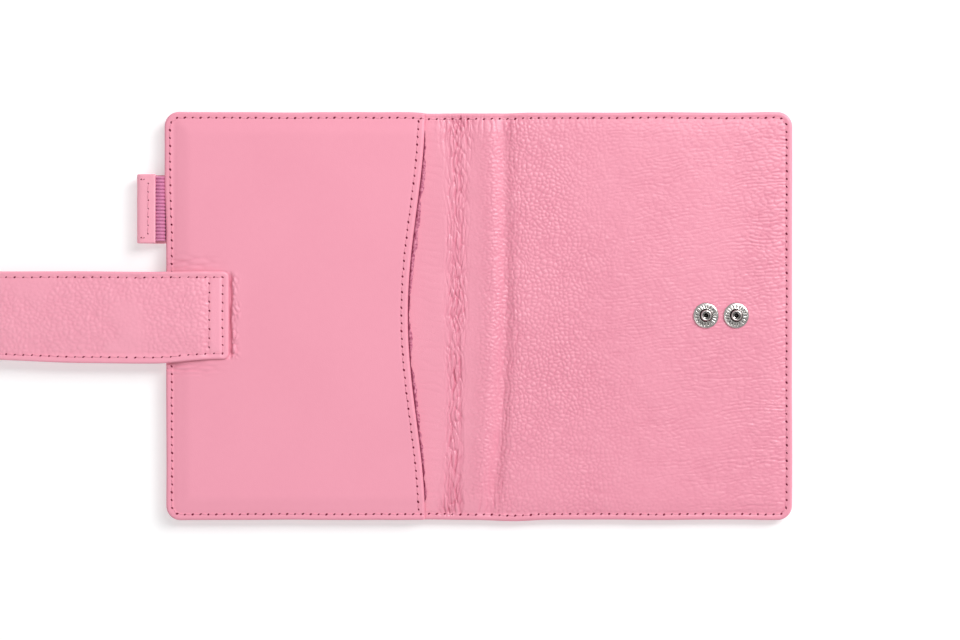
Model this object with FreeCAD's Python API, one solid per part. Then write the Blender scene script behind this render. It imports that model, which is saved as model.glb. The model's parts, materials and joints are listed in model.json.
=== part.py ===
import FreeCAD, Part
import os

# Passport holder, lying open with its outside up.
# X runs across the cover (0 = middle of the spine), Y along the spine, Z up (0 = the table). Millimetres.
# The back cover is on the -X side and carries the strap, the front cover on the +X side carries the studs.

# cover
COVER_HALF_HEIGHT = 70.0
PANEL_EDGE_X = 107.25
CREASE_X = 8.5
CREASE_GAP = 0.15
CORNER_RADIUS = 5.0

# layers of the cover, from the table up
INNER_STACK = 2.4
LINING_THICK = 0.6
BOARD_THICK = 0.8
LEATHER_THICK = 1.2
Z_LINING = INNER_STACK
Z_BOARD = Z_LINING + LINING_THICK
Z_LEATHER = Z_BOARD + BOARD_THICK
Z_TOP = Z_LEATHER + LEATHER_THICK
LINING_INSET = 0.6
BOARD_INSET = 4.0
BOARD_RADIUS = 2.0
INNER_CREASE_INSET = 5.0
HEM_WIDTH = 4.0

# slip pocket on the outside of the back cover
POCKET_GAP = 0.4
POCKET_THICK = 1.1
POCKET_HEM_WIDTH = 3.2
POCKET_HEM_INSET = 0.3
POCKET_MOUTH_X = -18.9
POCKET_MOUTH_SAG = 5.7
Z_POCKET_TOP = Z_TOP + POCKET_GAP + POCKET_THICK

# pockets on the inside of the back cover
SLEEVE_THICK = 0.8
QUICK_THICK = 0.6
QUICK_GAP = 0.2
QUICK_CREASE_INSET = 7.0
QUICK_MOUTH_Y = 20.0

# pockets on the inside of the front cover
CARD_LEATHER = 0.4
CARD_SPACING = 0.5
CARD_SLOT_MOUTHS = (40.0, 26.0, 12.0)
CARD_SLOT_BOTTOM_Y = -44.0
CARD_SLOT_INSET = 7.0

# strap
STRAP_HALF_WIDTH = 15.15
STRAP_SEWN_END_X = -86.1
STRAP_LIFT_X = -94.0
STRAP_EDGE_X = -108.75
STRAP_LEATHER = 1.1
STRAP_LINING = 0.5
STRAP_PAD = 0.3
STRAP_TIP = 13.5
STRAP_TIP_RADIUS = 9.0
STRAP_SEWN_RADIUS = 2.0
STRAP_LINING_INSET = 0.3
Z_STRAP_BOTTOM = Z_POCKET_TOP + STRAP_PAD
Z_STRAP_LEATHER = Z_STRAP_BOTTOM + STRAP_LINING
Z_STRAP_TOP = Z_STRAP_LEATHER + STRAP_LEATHER

# snaps
STUD_X = (77.7, 88.1)
FLANGE_RADIUS = 4.4
FLANGE_THICK = 0.7
BALL_RADIUS = 1.85
NECK_RADIUS = 1.5
NECK_HEIGHT = 0.9
BALL_HEIGHT = 1.7
POST_RADIUS = 1.2
RIVET_RADIUS = 4.0
RIVET_THICK = 0.6
BOARD_HOLE_RADIUS = 4.3
SOCKET_RADIUS = 4.1
SOCKET_HEIGHT = 2.1
SOCKET_CLEARANCE = 0.1
SOCKET_DEPTH = 1.75
SPRING_WIRE_RADIUS = 0.2
SPRING_RING_RADIUS = 1.9
SPRING_LEVEL = 0.5
CAP_RADIUS = 5.0
CAP_THICK = 0.5

# pen loop
LOOP_MIDDLE_Y = 36.7
LOOP_LEATHER_LENGTH = 23.7
LOOP_ELASTIC_LENGTH = 22.3
LOOP_LEATHER = 0.8
LOOP_ELASTIC = 0.9
LOOP_SEAM_X = -108.2
LOOP_NEAR_WALL_X = -108.7
LOOP_FAR_WALL_X = -112.9
LOOP_PINCH_X = -113.8
LOOP_TAB_END_X = -111.5
LOOP_FOLD_X = -118.0
Z_LOOP_PINCH = 3.1
Z_LOOP_TOP = 6.0

# worked out: the closed cover is as thick as the spine is wide, and the strap passes round it
CLOSED_THICKNESS = 2 * CREASE_X
SNAP_STAND_OFF = FLANGE_THICK + SOCKET_HEIGHT + SOCKET_CLEARANCE
BRIDGE_LENGTH = (Z_STRAP_BOTTOM - Z_TOP) + CLOSED_THICKNESS + SNAP_STAND_OFF
STRAP_TAB_X = STRAP_EDGE_X - BRIDGE_LENGTH
CLOSED_STUD_X = -STUD_X[0]
SOCKET_X = STRAP_TAB_X - (CLOSED_STUD_X - STRAP_EDGE_X)
STRAP_END_X = SOCKET_X - STRAP_TIP


def vector(x, y, z):
    return FreeCAD.Vector(x, y, z)


def slab(x_a, x_b, y_a, y_b, z_a, z_b):
    """A box between two corners given in any order along X."""
    low = min(x_a, x_b)
    return Part.makeBox(abs(x_b - x_a), y_b - y_a, z_b - z_a, vector(low, y_a, z_a))


def round_corners(solid, x_at, radius):
    """Rounds the upright corners of a slab that lie at x_at."""
    corners = []
    for edge in solid.Edges:
        box = edge.BoundBox
        upright = box.ZLength > 1e-3 and box.XLength < 1e-6 and box.YLength < 1e-6
        if upright and abs(box.XMin - x_at) < 1e-6:
            corners.append(edge)
    return solid.makeFillet(radius, corners)


def cylinder(x, y, z_a, z_b, radius):
    return Part.makeCylinder(radius, z_b - z_a, vector(x, y, z_a))


def turned(profile, x, z, up):
    """Turns a list of (radius, height) points about an upright axis through (x, 0, z)."""
    points = [vector(r, 0, up * h) for r, h in profile]
    outline = Part.makePolygon(points + [points[0]])
    solid = Part.Face(outline).revolve(vector(0, 0, 0), vector(0, 0, 1), 360)
    solid.translate(vector(x, 0, z))
    return solid


def extruded(outline, y_middle, length):
    """Extrudes a closed (x, z) outline along Y."""
    y_low = y_middle - length / 2
    points = [vector(x, y_low, z) for x, z in outline]
    face = Part.Face(Part.makePolygon(points + [points[0]]))
    return face.extrude(vector(0, length, 0))


def crease_wedge(side, into):
    """The material taken away beside a crease so that the cover can fold by a right angle.

    side is -1 for the back crease and +1 for the front one; into is the direction from the crease
    into the piece that is cut."""
    depth = Z_TOP - INNER_STACK + 1.0
    edge = side * CREASE_X + into * CREASE_GAP
    outline = [
        (edge - into * 2.0, Z_TOP + 1.0),
        (edge, Z_TOP + 1.0),
        (edge, Z_TOP),
        (edge + into * depth, Z_TOP - depth),
        (edge - into * 2.0, Z_TOP - depth),
    ]
    return extruded(outline, 0, 2 * COVER_HALF_HEIGHT + 2)


def panel_plate(side, inner, inset, z_a, z_b, radius):
    """A plate of one panel, from |x| = inner to its edge less the inset, with round outer corners."""
    edge = side * (PANEL_EDGE_X - inset)
    half = COVER_HALF_HEIGHT - inset
    return round_corners(slab(side * inner, edge, -half, half, z_a, z_b), edge, radius)


def rim_strips(side, inner, inset, width, z_a, z_b):
    """Three straight strips along a panel's top, bottom and outer edge: the sewn sides of a pocket."""
    edge = PANEL_EDGE_X - inset
    half = COVER_HALF_HEIGHT - inset
    clear = CORNER_RADIUS
    upper = slab(side * inner, side * (edge - clear), half - width, half, z_a, z_b)
    lower = slab(side * inner, side * (edge - clear), -half, width - half, z_a, z_b)
    outer = slab(side * (edge - width), side * edge, clear - half, half - clear, z_a, z_b)
    return Part.makeCompound([upper, lower, outer])


def outer_leather_panel(side):
    """The outer leather of one panel: a pan whose turned rim surrounds the board."""
    leather = panel_plate(side, CREASE_X, 0, Z_BOARD, Z_TOP, CORNER_RADIUS)
    leather = leather.cut(crease_wedge(side, side))
    recess = board_plate(side)
    return leather.cut(recess)


def board_plate(side):
    inner = CREASE_X + BOARD_INSET
    return panel_plate(side, inner, BOARD_INSET, Z_BOARD, Z_LEATHER, BOARD_RADIUS)


def lining_panel(side):
    radius = CORNER_RADIUS - LINING_INSET
    lining = panel_plate(side, CREASE_X, LINING_INSET, Z_LINING, Z_BOARD, radius)
    return lining.cut(crease_wedge(side, side))


def spine_plate(z_a, z_b, inset):
    half = COVER_HALF_HEIGHT - inset
    plate = slab(-CREASE_X, CREASE_X, -half, half, z_a, z_b)
    for side in (-1, 1):
        plate = plate.cut(crease_wedge(side, -side))
    return plate


def pocket_mouth(x_end, sag, z_a, z_b, beyond):
    """The prism on the spine side of the slip pocket's curved mouth."""
    half = COVER_HALF_HEIGHT
    start = vector(x_end, -half, z_a)
    middle = vector(x_end - sag, 0, z_a)
    stop = vector(x_end, half, z_a)
    curve = Part.Arc(start, middle, stop).toShape()
    side = Part.makePolygon([stop, vector(beyond, half, z_a), vector(beyond, -half, z_a), start])
    face = Part.Face(Part.Wire([curve] + side.Edges))
    return face.extrude(vector(0, 0, z_b - z_a))


def back_pocket_panel():
    z_low = Z_TOP + POCKET_GAP
    panel = panel_plate(-1, 10.0, 0, z_low, Z_POCKET_TOP, CORNER_RADIUS)
    return panel.cut(pocket_mouth(POCKET_MOUTH_X, POCKET_MOUTH_SAG, z_low, Z_POCKET_TOP, 0.0))


def back_pocket_hem():
    inner = -POCKET_MOUTH_X + 1.0
    return rim_strips(-1, inner, POCKET_HEM_INSET, POCKET_HEM_WIDTH, Z_TOP, Z_TOP + POCKET_GAP)


def passport_sleeve():
    inner = CREASE_X + INNER_CREASE_INSET
    z_low = QUICK_THICK + QUICK_GAP
    return panel_plate(-1, inner, LINING_INSET, z_low, z_low + SLEEVE_THICK, CORNER_RADIUS)


def passport_sleeve_hem():
    inner = CREASE_X + INNER_CREASE_INSET
    z_low = QUICK_THICK + QUICK_GAP + SLEEVE_THICK
    return rim_strips(-1, inner, LINING_INSET, HEM_WIDTH, z_low, Z_LINING)


def quick_pocket():
    inner = CREASE_X + QUICK_CREASE_INSET
    edge = LINING_INSET - PANEL_EDGE_X
    half = COVER_HALF_HEIGHT - LINING_INSET
    return slab(-inner, edge + CORNER_RADIUS, -half, QUICK_MOUTH_Y, 0, QUICK_THICK)


def quick_pocket_hem():
    inner = CREASE_X + QUICK_CREASE_INSET
    edge = LINING_INSET - PANEL_EDGE_X + CORNER_RADIUS
    half = COVER_HALF_HEIGHT - LINING_INSET
    z_low = QUICK_THICK
    z_high = QUICK_THICK + QUICK_GAP
    lower = slab(-inner, edge, -half, HEM_WIDTH - half, z_low, z_high)
    outer = slab(edge, edge + HEM_WIDTH, HEM_WIDTH - half, QUICK_MOUTH_Y, z_low, z_high)
    spine_side = slab(-inner - HEM_WIDTH, -inner, HEM_WIDTH - half, QUICK_MOUTH_Y, z_low, z_high)
    return Part.makeCompound([lower, outer, spine_side])


def card_sleeve():
    inner = CREASE_X + INNER_CREASE_INSET
    z_low = len(CARD_SLOT_MOUTHS) * CARD_SPACING
    return panel_plate(1, inner, LINING_INSET, z_low, z_low + CARD_LEATHER, CORNER_RADIUS)


def card_sleeve_hem():
    inner = CREASE_X + INNER_CREASE_INSET
    z_low = len(CARD_SLOT_MOUTHS) * CARD_SPACING + CARD_LEATHER
    return rim_strips(1, inner, LINING_INSET, HEM_WIDTH, z_low, Z_LINING)


def card_slot(order):
    """One card slot. The first lies highest, against the sleeve; the last lies on the table."""
    level = len(CARD_SLOT_MOUTHS) - 1 - order
    z_low = level * CARD_SPACING
    inner = CREASE_X + INNER_CREASE_INSET
    edge = PANEL_EDGE_X - CARD_SLOT_INSET
    mouth = CARD_SLOT_MOUTHS[order]
    return slab(inner, edge, CARD_SLOT_BOTTOM_Y, mouth, z_low, z_low + CARD_LEATHER)


def strap_plate(x_a, x_b, z_a, z_b, inset):
    half = STRAP_HALF_WIDTH - inset
    return slab(x_a, x_b, -half, half, z_a, z_b)


def strap_anchor(z_a, z_b, inset):
    end = STRAP_SEWN_END_X - inset
    plate = strap_plate(STRAP_LIFT_X + CREASE_GAP / 2, end, z_a, z_b, inset)
    return round_corners(plate, end, STRAP_SEWN_RADIUS)


def strap_tab(z_a, z_b, inset):
    end = STRAP_END_X + inset
    plate = strap_plate(STRAP_TAB_X - CREASE_GAP / 2, end, z_a, z_b, inset)
    return round_corners(plate, end, STRAP_TIP_RADIUS)


def snap_stud():
    """A ball stud turned from sheet: a domed flange, a neck and a rolled ball round an open middle."""
    top = FLANGE_THICK + BALL_HEIGHT
    return [
        (POST_RADIUS, 0),
        (FLANGE_RADIUS - 0.15, 0),
        (FLANGE_RADIUS, 0.15),
        (FLANGE_RADIUS - 0.1, 0.35),
        (FLANGE_RADIUS - 0.5, 0.55),
        (FLANGE_RADIUS - 1.3, FLANGE_THICK),
        (NECK_RADIUS + 0.6, FLANGE_THICK),
        (NECK_RADIUS + 0.2, FLANGE_THICK - 0.1),
        (NECK_RADIUS, FLANGE_THICK),
        (NECK_RADIUS, FLANGE_THICK + NECK_HEIGHT),
        (BALL_RADIUS, top - 0.45),
        (BALL_RADIUS - 0.05, top - 0.2),
        (BALL_RADIUS - 0.3, top),
        (POST_RADIUS + 0.1, top),
        (POST_RADIUS, top - 0.15),
    ]


def stud_rivet():
    """The rivet under the leather: a flat disc and the tube that is spread inside the stud."""
    tube_top = LEATHER_THICK + FLANGE_THICK + 0.9
    disc_low = -RIVET_THICK
    return [
        (0, disc_low),
        (RIVET_RADIUS - 0.1, disc_low),
        (RIVET_RADIUS, disc_low + 0.1),
        (RIVET_RADIUS, 0),
        (POST_RADIUS, 0),
        (POST_RADIUS, tube_top),
        (POST_RADIUS - 0.35, tube_top),
        (POST_RADIUS - 0.35, tube_top - 0.8),
        (0, tube_top - 0.8),
    ]


def snap_socket():
    """The socket under the strap. Heights run from the strap's lining down to the mouth."""
    base = SOCKET_HEIGHT - SOCKET_DEPTH
    mouth = SOCKET_HEIGHT
    spring_at = mouth - SPRING_LEVEL
    return [
        (POST_RADIUS, 0),
        (SOCKET_RADIUS - 0.2, 0),
        (SOCKET_RADIUS, 0.2),
        (SOCKET_RADIUS, 0.9),
        (SOCKET_RADIUS - 0.6, 1.3),
        (SOCKET_RADIUS - 0.9, mouth - 0.1),
        (SOCKET_RADIUS - 1.1, mouth),
        (BALL_RADIUS + 0.25, mouth),
        (BALL_RADIUS + 0.15, mouth - 0.1),
        (BALL_RADIUS + 0.15, spring_at + 0.25),
        (SOCKET_RADIUS - 1.5, spring_at + 0.25),
        (SOCKET_RADIUS - 1.5, spring_at - 0.25),
        (BALL_RADIUS + 0.15, spring_at - 0.25),
        (BALL_RADIUS + 0.15, base),
        (POST_RADIUS, base),
    ]


def snap_spring():
    """The wire ring that grips the stud's neck inside the socket."""
    level = Z_STRAP_BOTTOM - SOCKET_HEIGHT + SPRING_LEVEL
    centre = vector(SOCKET_X, 0, level)
    return Part.makeTorus(SPRING_RING_RADIUS, SPRING_WIRE_RADIUS, centre, vector(0, 0, 1))


def snap_cap():
    """The cap between the strap's two layers, with the post that holds the socket."""
    base = SOCKET_HEIGHT - SOCKET_DEPTH
    disc = cylinder(SOCKET_X, 0, Z_STRAP_LEATHER, Z_STRAP_LEATHER + CAP_THICK, CAP_RADIUS)
    post = cylinder(SOCKET_X, 0, Z_STRAP_BOTTOM - base, Z_STRAP_LEATHER, POST_RADIUS)
    return disc.fuse(post)


def pen_loop_leather():
    """A leather strip from the seam that sags under the hollow, folds round and ends as the sewn tab."""
    outline = [
        (LOOP_SEAM_X, Z_BOARD - 0.4),
        (LOOP_SEAM_X, 1.0),
        (LOOP_SEAM_X - 0.1, 0.5),
        (LOOP_SEAM_X - 0.7, 0.0),
        (LOOP_FAR_WALL_X, 0.0),
        (LOOP_FAR_WALL_X - 0.6, 0.6),
        (LOOP_PINCH_X - 0.4, Z_LOOP_PINCH - LOOP_LEATHER - 0.1),
        (LOOP_FOLD_X + 0.8, Z_LOOP_PINCH - LOOP_LEATHER),
        (LOOP_FOLD_X + 0.2, Z_LOOP_PINCH - 0.4),
        (LOOP_FOLD_X, Z_LOOP_PINCH + 0.4),
        (LOOP_FOLD_X + 0.2, Z_LOOP_PINCH + 1.2),
        (LOOP_FOLD_X + 0.8, Z_LOOP_PINCH + 1.7),
        (LOOP_PINCH_X - 0.8, Z_LOOP_PINCH + 1.8),
        (LOOP_FAR_WALL_X - 0.4, Z_LOOP_TOP + LOOP_LEATHER),
        (LOOP_TAB_END_X, Z_LOOP_TOP + LOOP_LEATHER),
        (LOOP_TAB_END_X, Z_LOOP_TOP),
        (LOOP_FAR_WALL_X - 0.05, Z_LOOP_TOP),
        (LOOP_PINCH_X - 0.4, Z_LOOP_PINCH + LOOP_ELASTIC),
        (LOOP_FOLD_X + 1.0, Z_LOOP_PINCH + LOOP_ELASTIC),
        (LOOP_FOLD_X + 1.0, Z_LOOP_PINCH),
        (LOOP_PINCH_X, Z_LOOP_PINCH),
        (LOOP_FAR_WALL_X + 0.05, LOOP_LEATHER),
        (LOOP_NEAR_WALL_X, LOOP_LEATHER),
        (LOOP_NEAR_WALL_X, Z_BOARD - 0.4),
    ]
    return extruded(outline, LOOP_MIDDLE_Y, LOOP_LEATHER_LENGTH)


def pen_loop_elastic():
    """The ribbed elastic: sewn between strip and tab, it arches over the hollow and enters the seam."""
    outline = [
        (LOOP_SEAM_X, Z_BOARD - 0.4),
        (LOOP_SEAM_X, Z_LOOP_TOP - 1.2),
        (LOOP_SEAM_X - 0.4, Z_LOOP_TOP - 0.4),
        (LOOP_SEAM_X - 1.1, Z_LOOP_TOP),
        (LOOP_FAR_WALL_X - 0.05, Z_LOOP_TOP),
        (LOOP_PINCH_X - 0.4, Z_LOOP_PINCH + LOOP_ELASTIC),
        (LOOP_FOLD_X + 1.0, Z_LOOP_PINCH + LOOP_ELASTIC),
        (LOOP_FOLD_X + 1.0, Z_LOOP_PINCH),
        (LOOP_PINCH_X, Z_LOOP_PINCH),
        (LOOP_FAR_WALL_X + 0.05, Z_LOOP_TOP - LOOP_ELASTIC),
        (LOOP_NEAR_WALL_X, Z_LOOP_TOP - LOOP_ELASTIC),
        (LOOP_NEAR_WALL_X, Z_BOARD - 0.4),
    ]
    return extruded(outline, LOOP_MIDDLE_Y, LOOP_ELASTIC_LENGTH)


def drill(solid, x, z_a, z_b, radius):
    return solid.cut(cylinder(x, 0, z_a, z_b, radius))


def build():
    """Every sub-part by the name of its node."""
    nodes = {}
    for side, name in ((-1, "back"), (1, "front")):
        nodes["outer_leather_" + name] = outer_leather_panel(side)
        nodes["board_" + name] = board_plate(side)
        nodes["lining_" + name] = lining_panel(side)
    nodes["outer_leather_spine"] = spine_plate(Z_BOARD, Z_TOP, 0)
    nodes["lining_spine"] = spine_plate(Z_LINING, Z_BOARD, LINING_INSET)

    nodes["back_pocket_panel"] = back_pocket_panel()
    nodes["back_pocket_hem"] = back_pocket_hem()
    nodes["passport_sleeve"] = passport_sleeve()
    nodes["passport_sleeve_hem"] = passport_sleeve_hem()
    nodes["quick_pocket"] = quick_pocket()
    nodes["quick_pocket_hem"] = quick_pocket_hem()
    nodes["card_sleeve"] = card_sleeve()
    nodes["card_sleeve_hem"] = card_sleeve_hem()
    for order in range(len(CARD_SLOT_MOUTHS)):
        nodes["card_slot_%d" % (order + 1)] = card_slot(order)

    for stud_x, name in zip(STUD_X, ("inner", "outer")):
        leather = nodes["outer_leather_front"]
        nodes["outer_leather_front"] = drill(leather, stud_x, Z_LEATHER, Z_TOP, POST_RADIUS)
        board = nodes["board_front"]
        nodes["board_front"] = drill(board, stud_x, Z_BOARD, Z_LEATHER, BOARD_HOLE_RADIUS)
        nodes["snap_stud_" + name] = turned(snap_stud(), stud_x, Z_TOP, 1)
        nodes["stud_rivet_" + name] = turned(stud_rivet(), stud_x, Z_LEATHER, 1)

    nodes["strap_anchor_leather"] = strap_anchor(Z_STRAP_LEATHER, Z_STRAP_TOP, 0)
    nodes["strap_anchor_lining"] = strap_anchor(Z_POCKET_TOP, Z_STRAP_LEATHER, STRAP_LINING_INSET)
    gap = CREASE_GAP / 2
    spans = {
        "root": (STRAP_LIFT_X - gap, STRAP_EDGE_X + gap),
        "bridge": (STRAP_EDGE_X - gap, STRAP_TAB_X + gap),
    }
    for name, (x_a, x_b) in spans.items():
        nodes["strap_leather_" + name] = strap_plate(x_a, x_b, Z_STRAP_LEATHER, Z_STRAP_TOP, 0)
        lining = strap_plate(x_a, x_b, Z_STRAP_BOTTOM, Z_STRAP_LEATHER, STRAP_LINING_INSET)
        nodes["strap_lining_" + name] = lining
    tab_leather = strap_tab(Z_STRAP_LEATHER, Z_STRAP_TOP, 0)
    tab_lining = strap_tab(Z_STRAP_BOTTOM, Z_STRAP_LEATHER, STRAP_LINING_INSET)
    cap_top = Z_STRAP_LEATHER + CAP_THICK
    nodes["strap_leather_tab"] = drill(tab_leather, SOCKET_X, Z_STRAP_LEATHER, cap_top, CAP_RADIUS)
    nodes["strap_lining_tab"] = drill(tab_lining, SOCKET_X, Z_STRAP_BOTTOM, Z_STRAP_LEATHER, POST_RADIUS)
    nodes["snap_cap"] = snap_cap()
    nodes["snap_socket"] = turned(snap_socket(), SOCKET_X, Z_STRAP_BOTTOM, -1)
    nodes["snap_spring"] = snap_spring()

    nodes["pen_loop_leather"] = pen_loop_leather()
    nodes["pen_loop_elastic"] = pen_loop_elastic()
    return nodes


def main():
    os.makedirs("parts", exist_ok=True)
    for name, shape in build().items():
        shape.exportStep("parts/" + name + ".step")
        kind = "valid" if shape.isValid() else "NOT VALID"
        print("%-22s %2d solid(s) %9.2f mm3 %s" % (name, len(shape.Solids), shape.Volume, kind))
    print("bridge length %.2f, strap folds at x %.2f and %.2f, socket at x %.2f, end at x %.2f" % (
        BRIDGE_LENGTH, STRAP_EDGE_X, STRAP_TAB_X, SOCKET_X, STRAP_END_X))


main()
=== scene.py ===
import json
import math

import bpy
import numpy as np
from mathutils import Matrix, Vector


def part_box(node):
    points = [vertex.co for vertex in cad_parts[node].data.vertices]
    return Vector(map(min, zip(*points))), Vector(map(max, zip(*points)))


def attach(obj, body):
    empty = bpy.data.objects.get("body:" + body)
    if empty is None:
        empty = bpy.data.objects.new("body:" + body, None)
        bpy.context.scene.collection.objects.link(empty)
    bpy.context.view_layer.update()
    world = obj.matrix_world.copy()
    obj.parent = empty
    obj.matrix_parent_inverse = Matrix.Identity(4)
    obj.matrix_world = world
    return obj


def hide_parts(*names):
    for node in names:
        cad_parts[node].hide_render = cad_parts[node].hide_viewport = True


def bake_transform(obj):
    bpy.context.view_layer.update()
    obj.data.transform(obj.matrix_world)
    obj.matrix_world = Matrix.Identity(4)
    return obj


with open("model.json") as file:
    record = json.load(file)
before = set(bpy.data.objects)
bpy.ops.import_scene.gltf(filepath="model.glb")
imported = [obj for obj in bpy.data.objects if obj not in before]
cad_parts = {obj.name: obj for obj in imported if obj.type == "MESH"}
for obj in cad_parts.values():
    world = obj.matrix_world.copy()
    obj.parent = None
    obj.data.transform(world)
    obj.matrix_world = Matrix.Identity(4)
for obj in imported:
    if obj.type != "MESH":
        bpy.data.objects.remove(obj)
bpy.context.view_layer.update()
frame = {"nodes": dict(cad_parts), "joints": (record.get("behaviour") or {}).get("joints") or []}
MM = 0.001


# ---------------------------------------------------------------- sizes from the frame, in millimetres

def box_mm(node):
    low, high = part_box(node)
    return [c / MM for c in low], [c / MM for c in high]


def joint_mm(name):
    joint = next(j for j in frame["joints"] if j["name"] == name)
    return [c / MM for c in joint["pos_m"]]


front_high = box_mm("outer_leather_front")[1]
pocket_low, pocket_high = box_mm("back_pocket_panel")
lining_low, lining_high = box_mm("lining_front")
sleeve_high = box_mm("passport_sleeve")[1]
card_low = box_mm("card_sleeve")[0]
anchor_high = box_mm("strap_anchor_leather")[1]
tab_low, tab_high = box_mm("strap_leather_tab")
strap_lining_low, strap_lining_high = box_mm("strap_lining_tab")
socket_low, socket_high = box_mm("snap_socket")
loop_low, loop_high = box_mm("pen_loop_leather")
elastic_low, elastic_high = box_mm("pen_loop_elastic")

EDGE = front_high[0]
HALF = front_high[1]
TOP = front_high[2]
SKIN = 1.2
CORNER = 5.0
STITCH_INSET = 2.0
STITCH_PITCH = 2.7
STRAP_PITCH = 2.95

LINING_UNDER = lining_low[2]
LINING_TOP = lining_high[2]

POCKET_TOP = pocket_high[2]
POCKET_THICK = pocket_high[2] - pocket_low[2]
MOUTH_END_X = -18.9
MOUTH_DEPTH = 5.9
MOUTH_STITCH = 2.2

STRAP_TOP = tab_high[2]
STRAP_UNDER = strap_lining_low[2]
STRAP_HALF = tab_high[1]
STRAP_SEWN_END = anchor_high[0]
STRAP_TIP = tab_low[0]
STRAP_TIP_RADIUS = 9.0
STRAP_STITCH = 2.05
BOX_STITCH_X = (STRAP_SEWN_END - 2.2, STRAP_SEWN_END - 6.7)
LIFT_X = joint_mm("strap_lift")[0]
EDGE_FOLD_X = joint_mm("strap_edge_fold")[0]
TAB_FOLD_X = joint_mm("strap_tab_fold")[0]
STRAP_LANDS = (-95.5, -91.5)
SOCKET_X = (socket_low[0] + socket_high[0]) / 2
CAP_RADIUS = 5.0

ALL_SIDES = ("left", "right", "low", "high")
EDGE_INSETS = (0.0, 0.04, 0.15, 0.35, 0.6, 0.9, 1.25, 1.6, 2.0, 2.4, 2.8, 3.3)


# ---------------------------------------------------------------- smooth fields over the leather

def smooth(low, high, value):
    """0 below low, 1 above high, and a smooth step between them."""
    t = np.clip((value - low) / (high - low), 0.0, 1.0)
    return t * t * (3.0 - 2.0 * t)


def bump(value, centre, width):
    return np.exp(-(((value - centre) / width) ** 2))


def hashed(i, j, seed):
    """A fixed number from 0 to 1 for each lattice cell."""
    n = (i.astype(np.int64) * 374761393 + j.astype(np.int64) * 668265263 + seed * 1274126177) & 0xFFFFFFFF
    n = ((n ^ (n >> 13)) * 1103515245) & 0xFFFFFFFF
    n = ((n ^ (n >> 16)) * 1274126177) & 0xFFFFFFFF
    return ((n ^ (n >> 15)) & 0xFFFF) / 65535.0


def noise(x, y, size, seed):
    """Smooth noise from -1 to 1 with hills about size across."""
    u, v = np.asarray(x, float) / size, np.asarray(y, float) / size
    i, j = np.floor(u), np.floor(v)
    s, t = u - i, v - j
    s, t = s * s * (3 - 2 * s), t * t * (3 - 2 * t)
    low = hashed(i, j, seed) * (1 - s) + hashed(i + 1, j, seed) * s
    high = hashed(i, j + 1, seed) * (1 - s) + hashed(i + 1, j + 1, seed) * s
    return 2.0 * (low * (1 - t) + high * t) - 1.0


def drift(t, size, seed):
    """Smooth noise from -1 to 1 along one direction."""
    return noise(t, t * 0.0, size, seed)


def cell_gap(x, y, width, height, seed):
    """How far each point is from the border between two cells of a jittered net, in cells."""
    u, v = x / width, y / height
    i, j = np.floor(u), np.floor(v)
    nearest = np.full(np.shape(u), 9.0)
    second = np.full(np.shape(u), 9.0)
    for di in (-1, 0, 1):
        for dj in (-1, 0, 1):
            ci, cj = i + di, j + dj
            away = np.hypot(ci + hashed(ci, cj, seed) - u, cj + hashed(ci, cj, seed + 7) - v)
            second = np.minimum(second, np.maximum(nearest, away))
            nearest = np.minimum(nearest, away)
    return second - nearest


def sharp_net(x, y, width, height, sharp, seed):
    """A net of sharp creases, 1 in the creases and 0 between them, in cells width by height."""
    warp = noise(x, y, 4.0 * width, seed + 1) * 0.35 * width
    gap = cell_gap(x + warp, y, width, height, seed)
    return np.exp(-((gap / sharp) ** 2))


def net(x, y, width, height, seed):
    """The soft creases between rounded cells: 1 in the creases and 0 on top of each cell."""
    warp = noise(x, y, 3.0 * width, seed + 1) * 0.4 * width
    gap = cell_gap(x + warp, y + 0.5 * warp, width, height, seed)
    return (1.0 - np.clip(gap / 0.7, 0.0, 1.0)) ** 2


def strands(x, y, spacing, sway, seed):
    """Long wavy strands side by side that part and meet: 1 in the sharp valleys, 0 on the rounded tops."""
    broad = noise(x, y * 0.85, 3.8 * sway, seed)
    narrow = noise(x, y * 0.5, 1.7 * sway, seed + 1)
    moved = x + sway * (broad + 0.4 * narrow)
    moved = moved + 0.4 * sway * drift(y, 5.0, seed + 2)
    wave = 1.0 - np.abs(np.sin(moved * math.pi / spacing))
    fading = 0.55 + 0.6 * noise(x * 2.2, y * 0.35, 3.0, seed + 3)
    return np.clip(wave, 0.0, 1.0) ** 1.6 * np.clip(fading, 0.0, 1.0)


def along(y, *points):
    """Reads a value at y from (y, value) points given from the bottom edge to the top edge."""
    return np.interp(y, [p[0] for p in points], [p[1] for p in points])


# ---------------------------------------------------------------- the shape of the cover

def rim_inset(x, y):
    """How far a point is inside the cover's outline, whose outer corners are round."""
    dx, dy = EDGE - np.abs(x), HALF - np.abs(y)
    corner = (dx < CORNER) & (dy < CORNER)
    round_inset = CORNER - np.hypot(CORNER - dx, CORNER - dy)
    return np.where(corner, round_inset, np.minimum(dx, dy))


def mouth_x(y):
    """The slip pocket's mouth: a shallow curve that is deepest half way along."""
    return MOUTH_END_X - MOUTH_DEPTH * np.cos(np.clip(np.abs(y) / HALF, 0, 1) * math.pi / 2) ** 1.9


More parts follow.
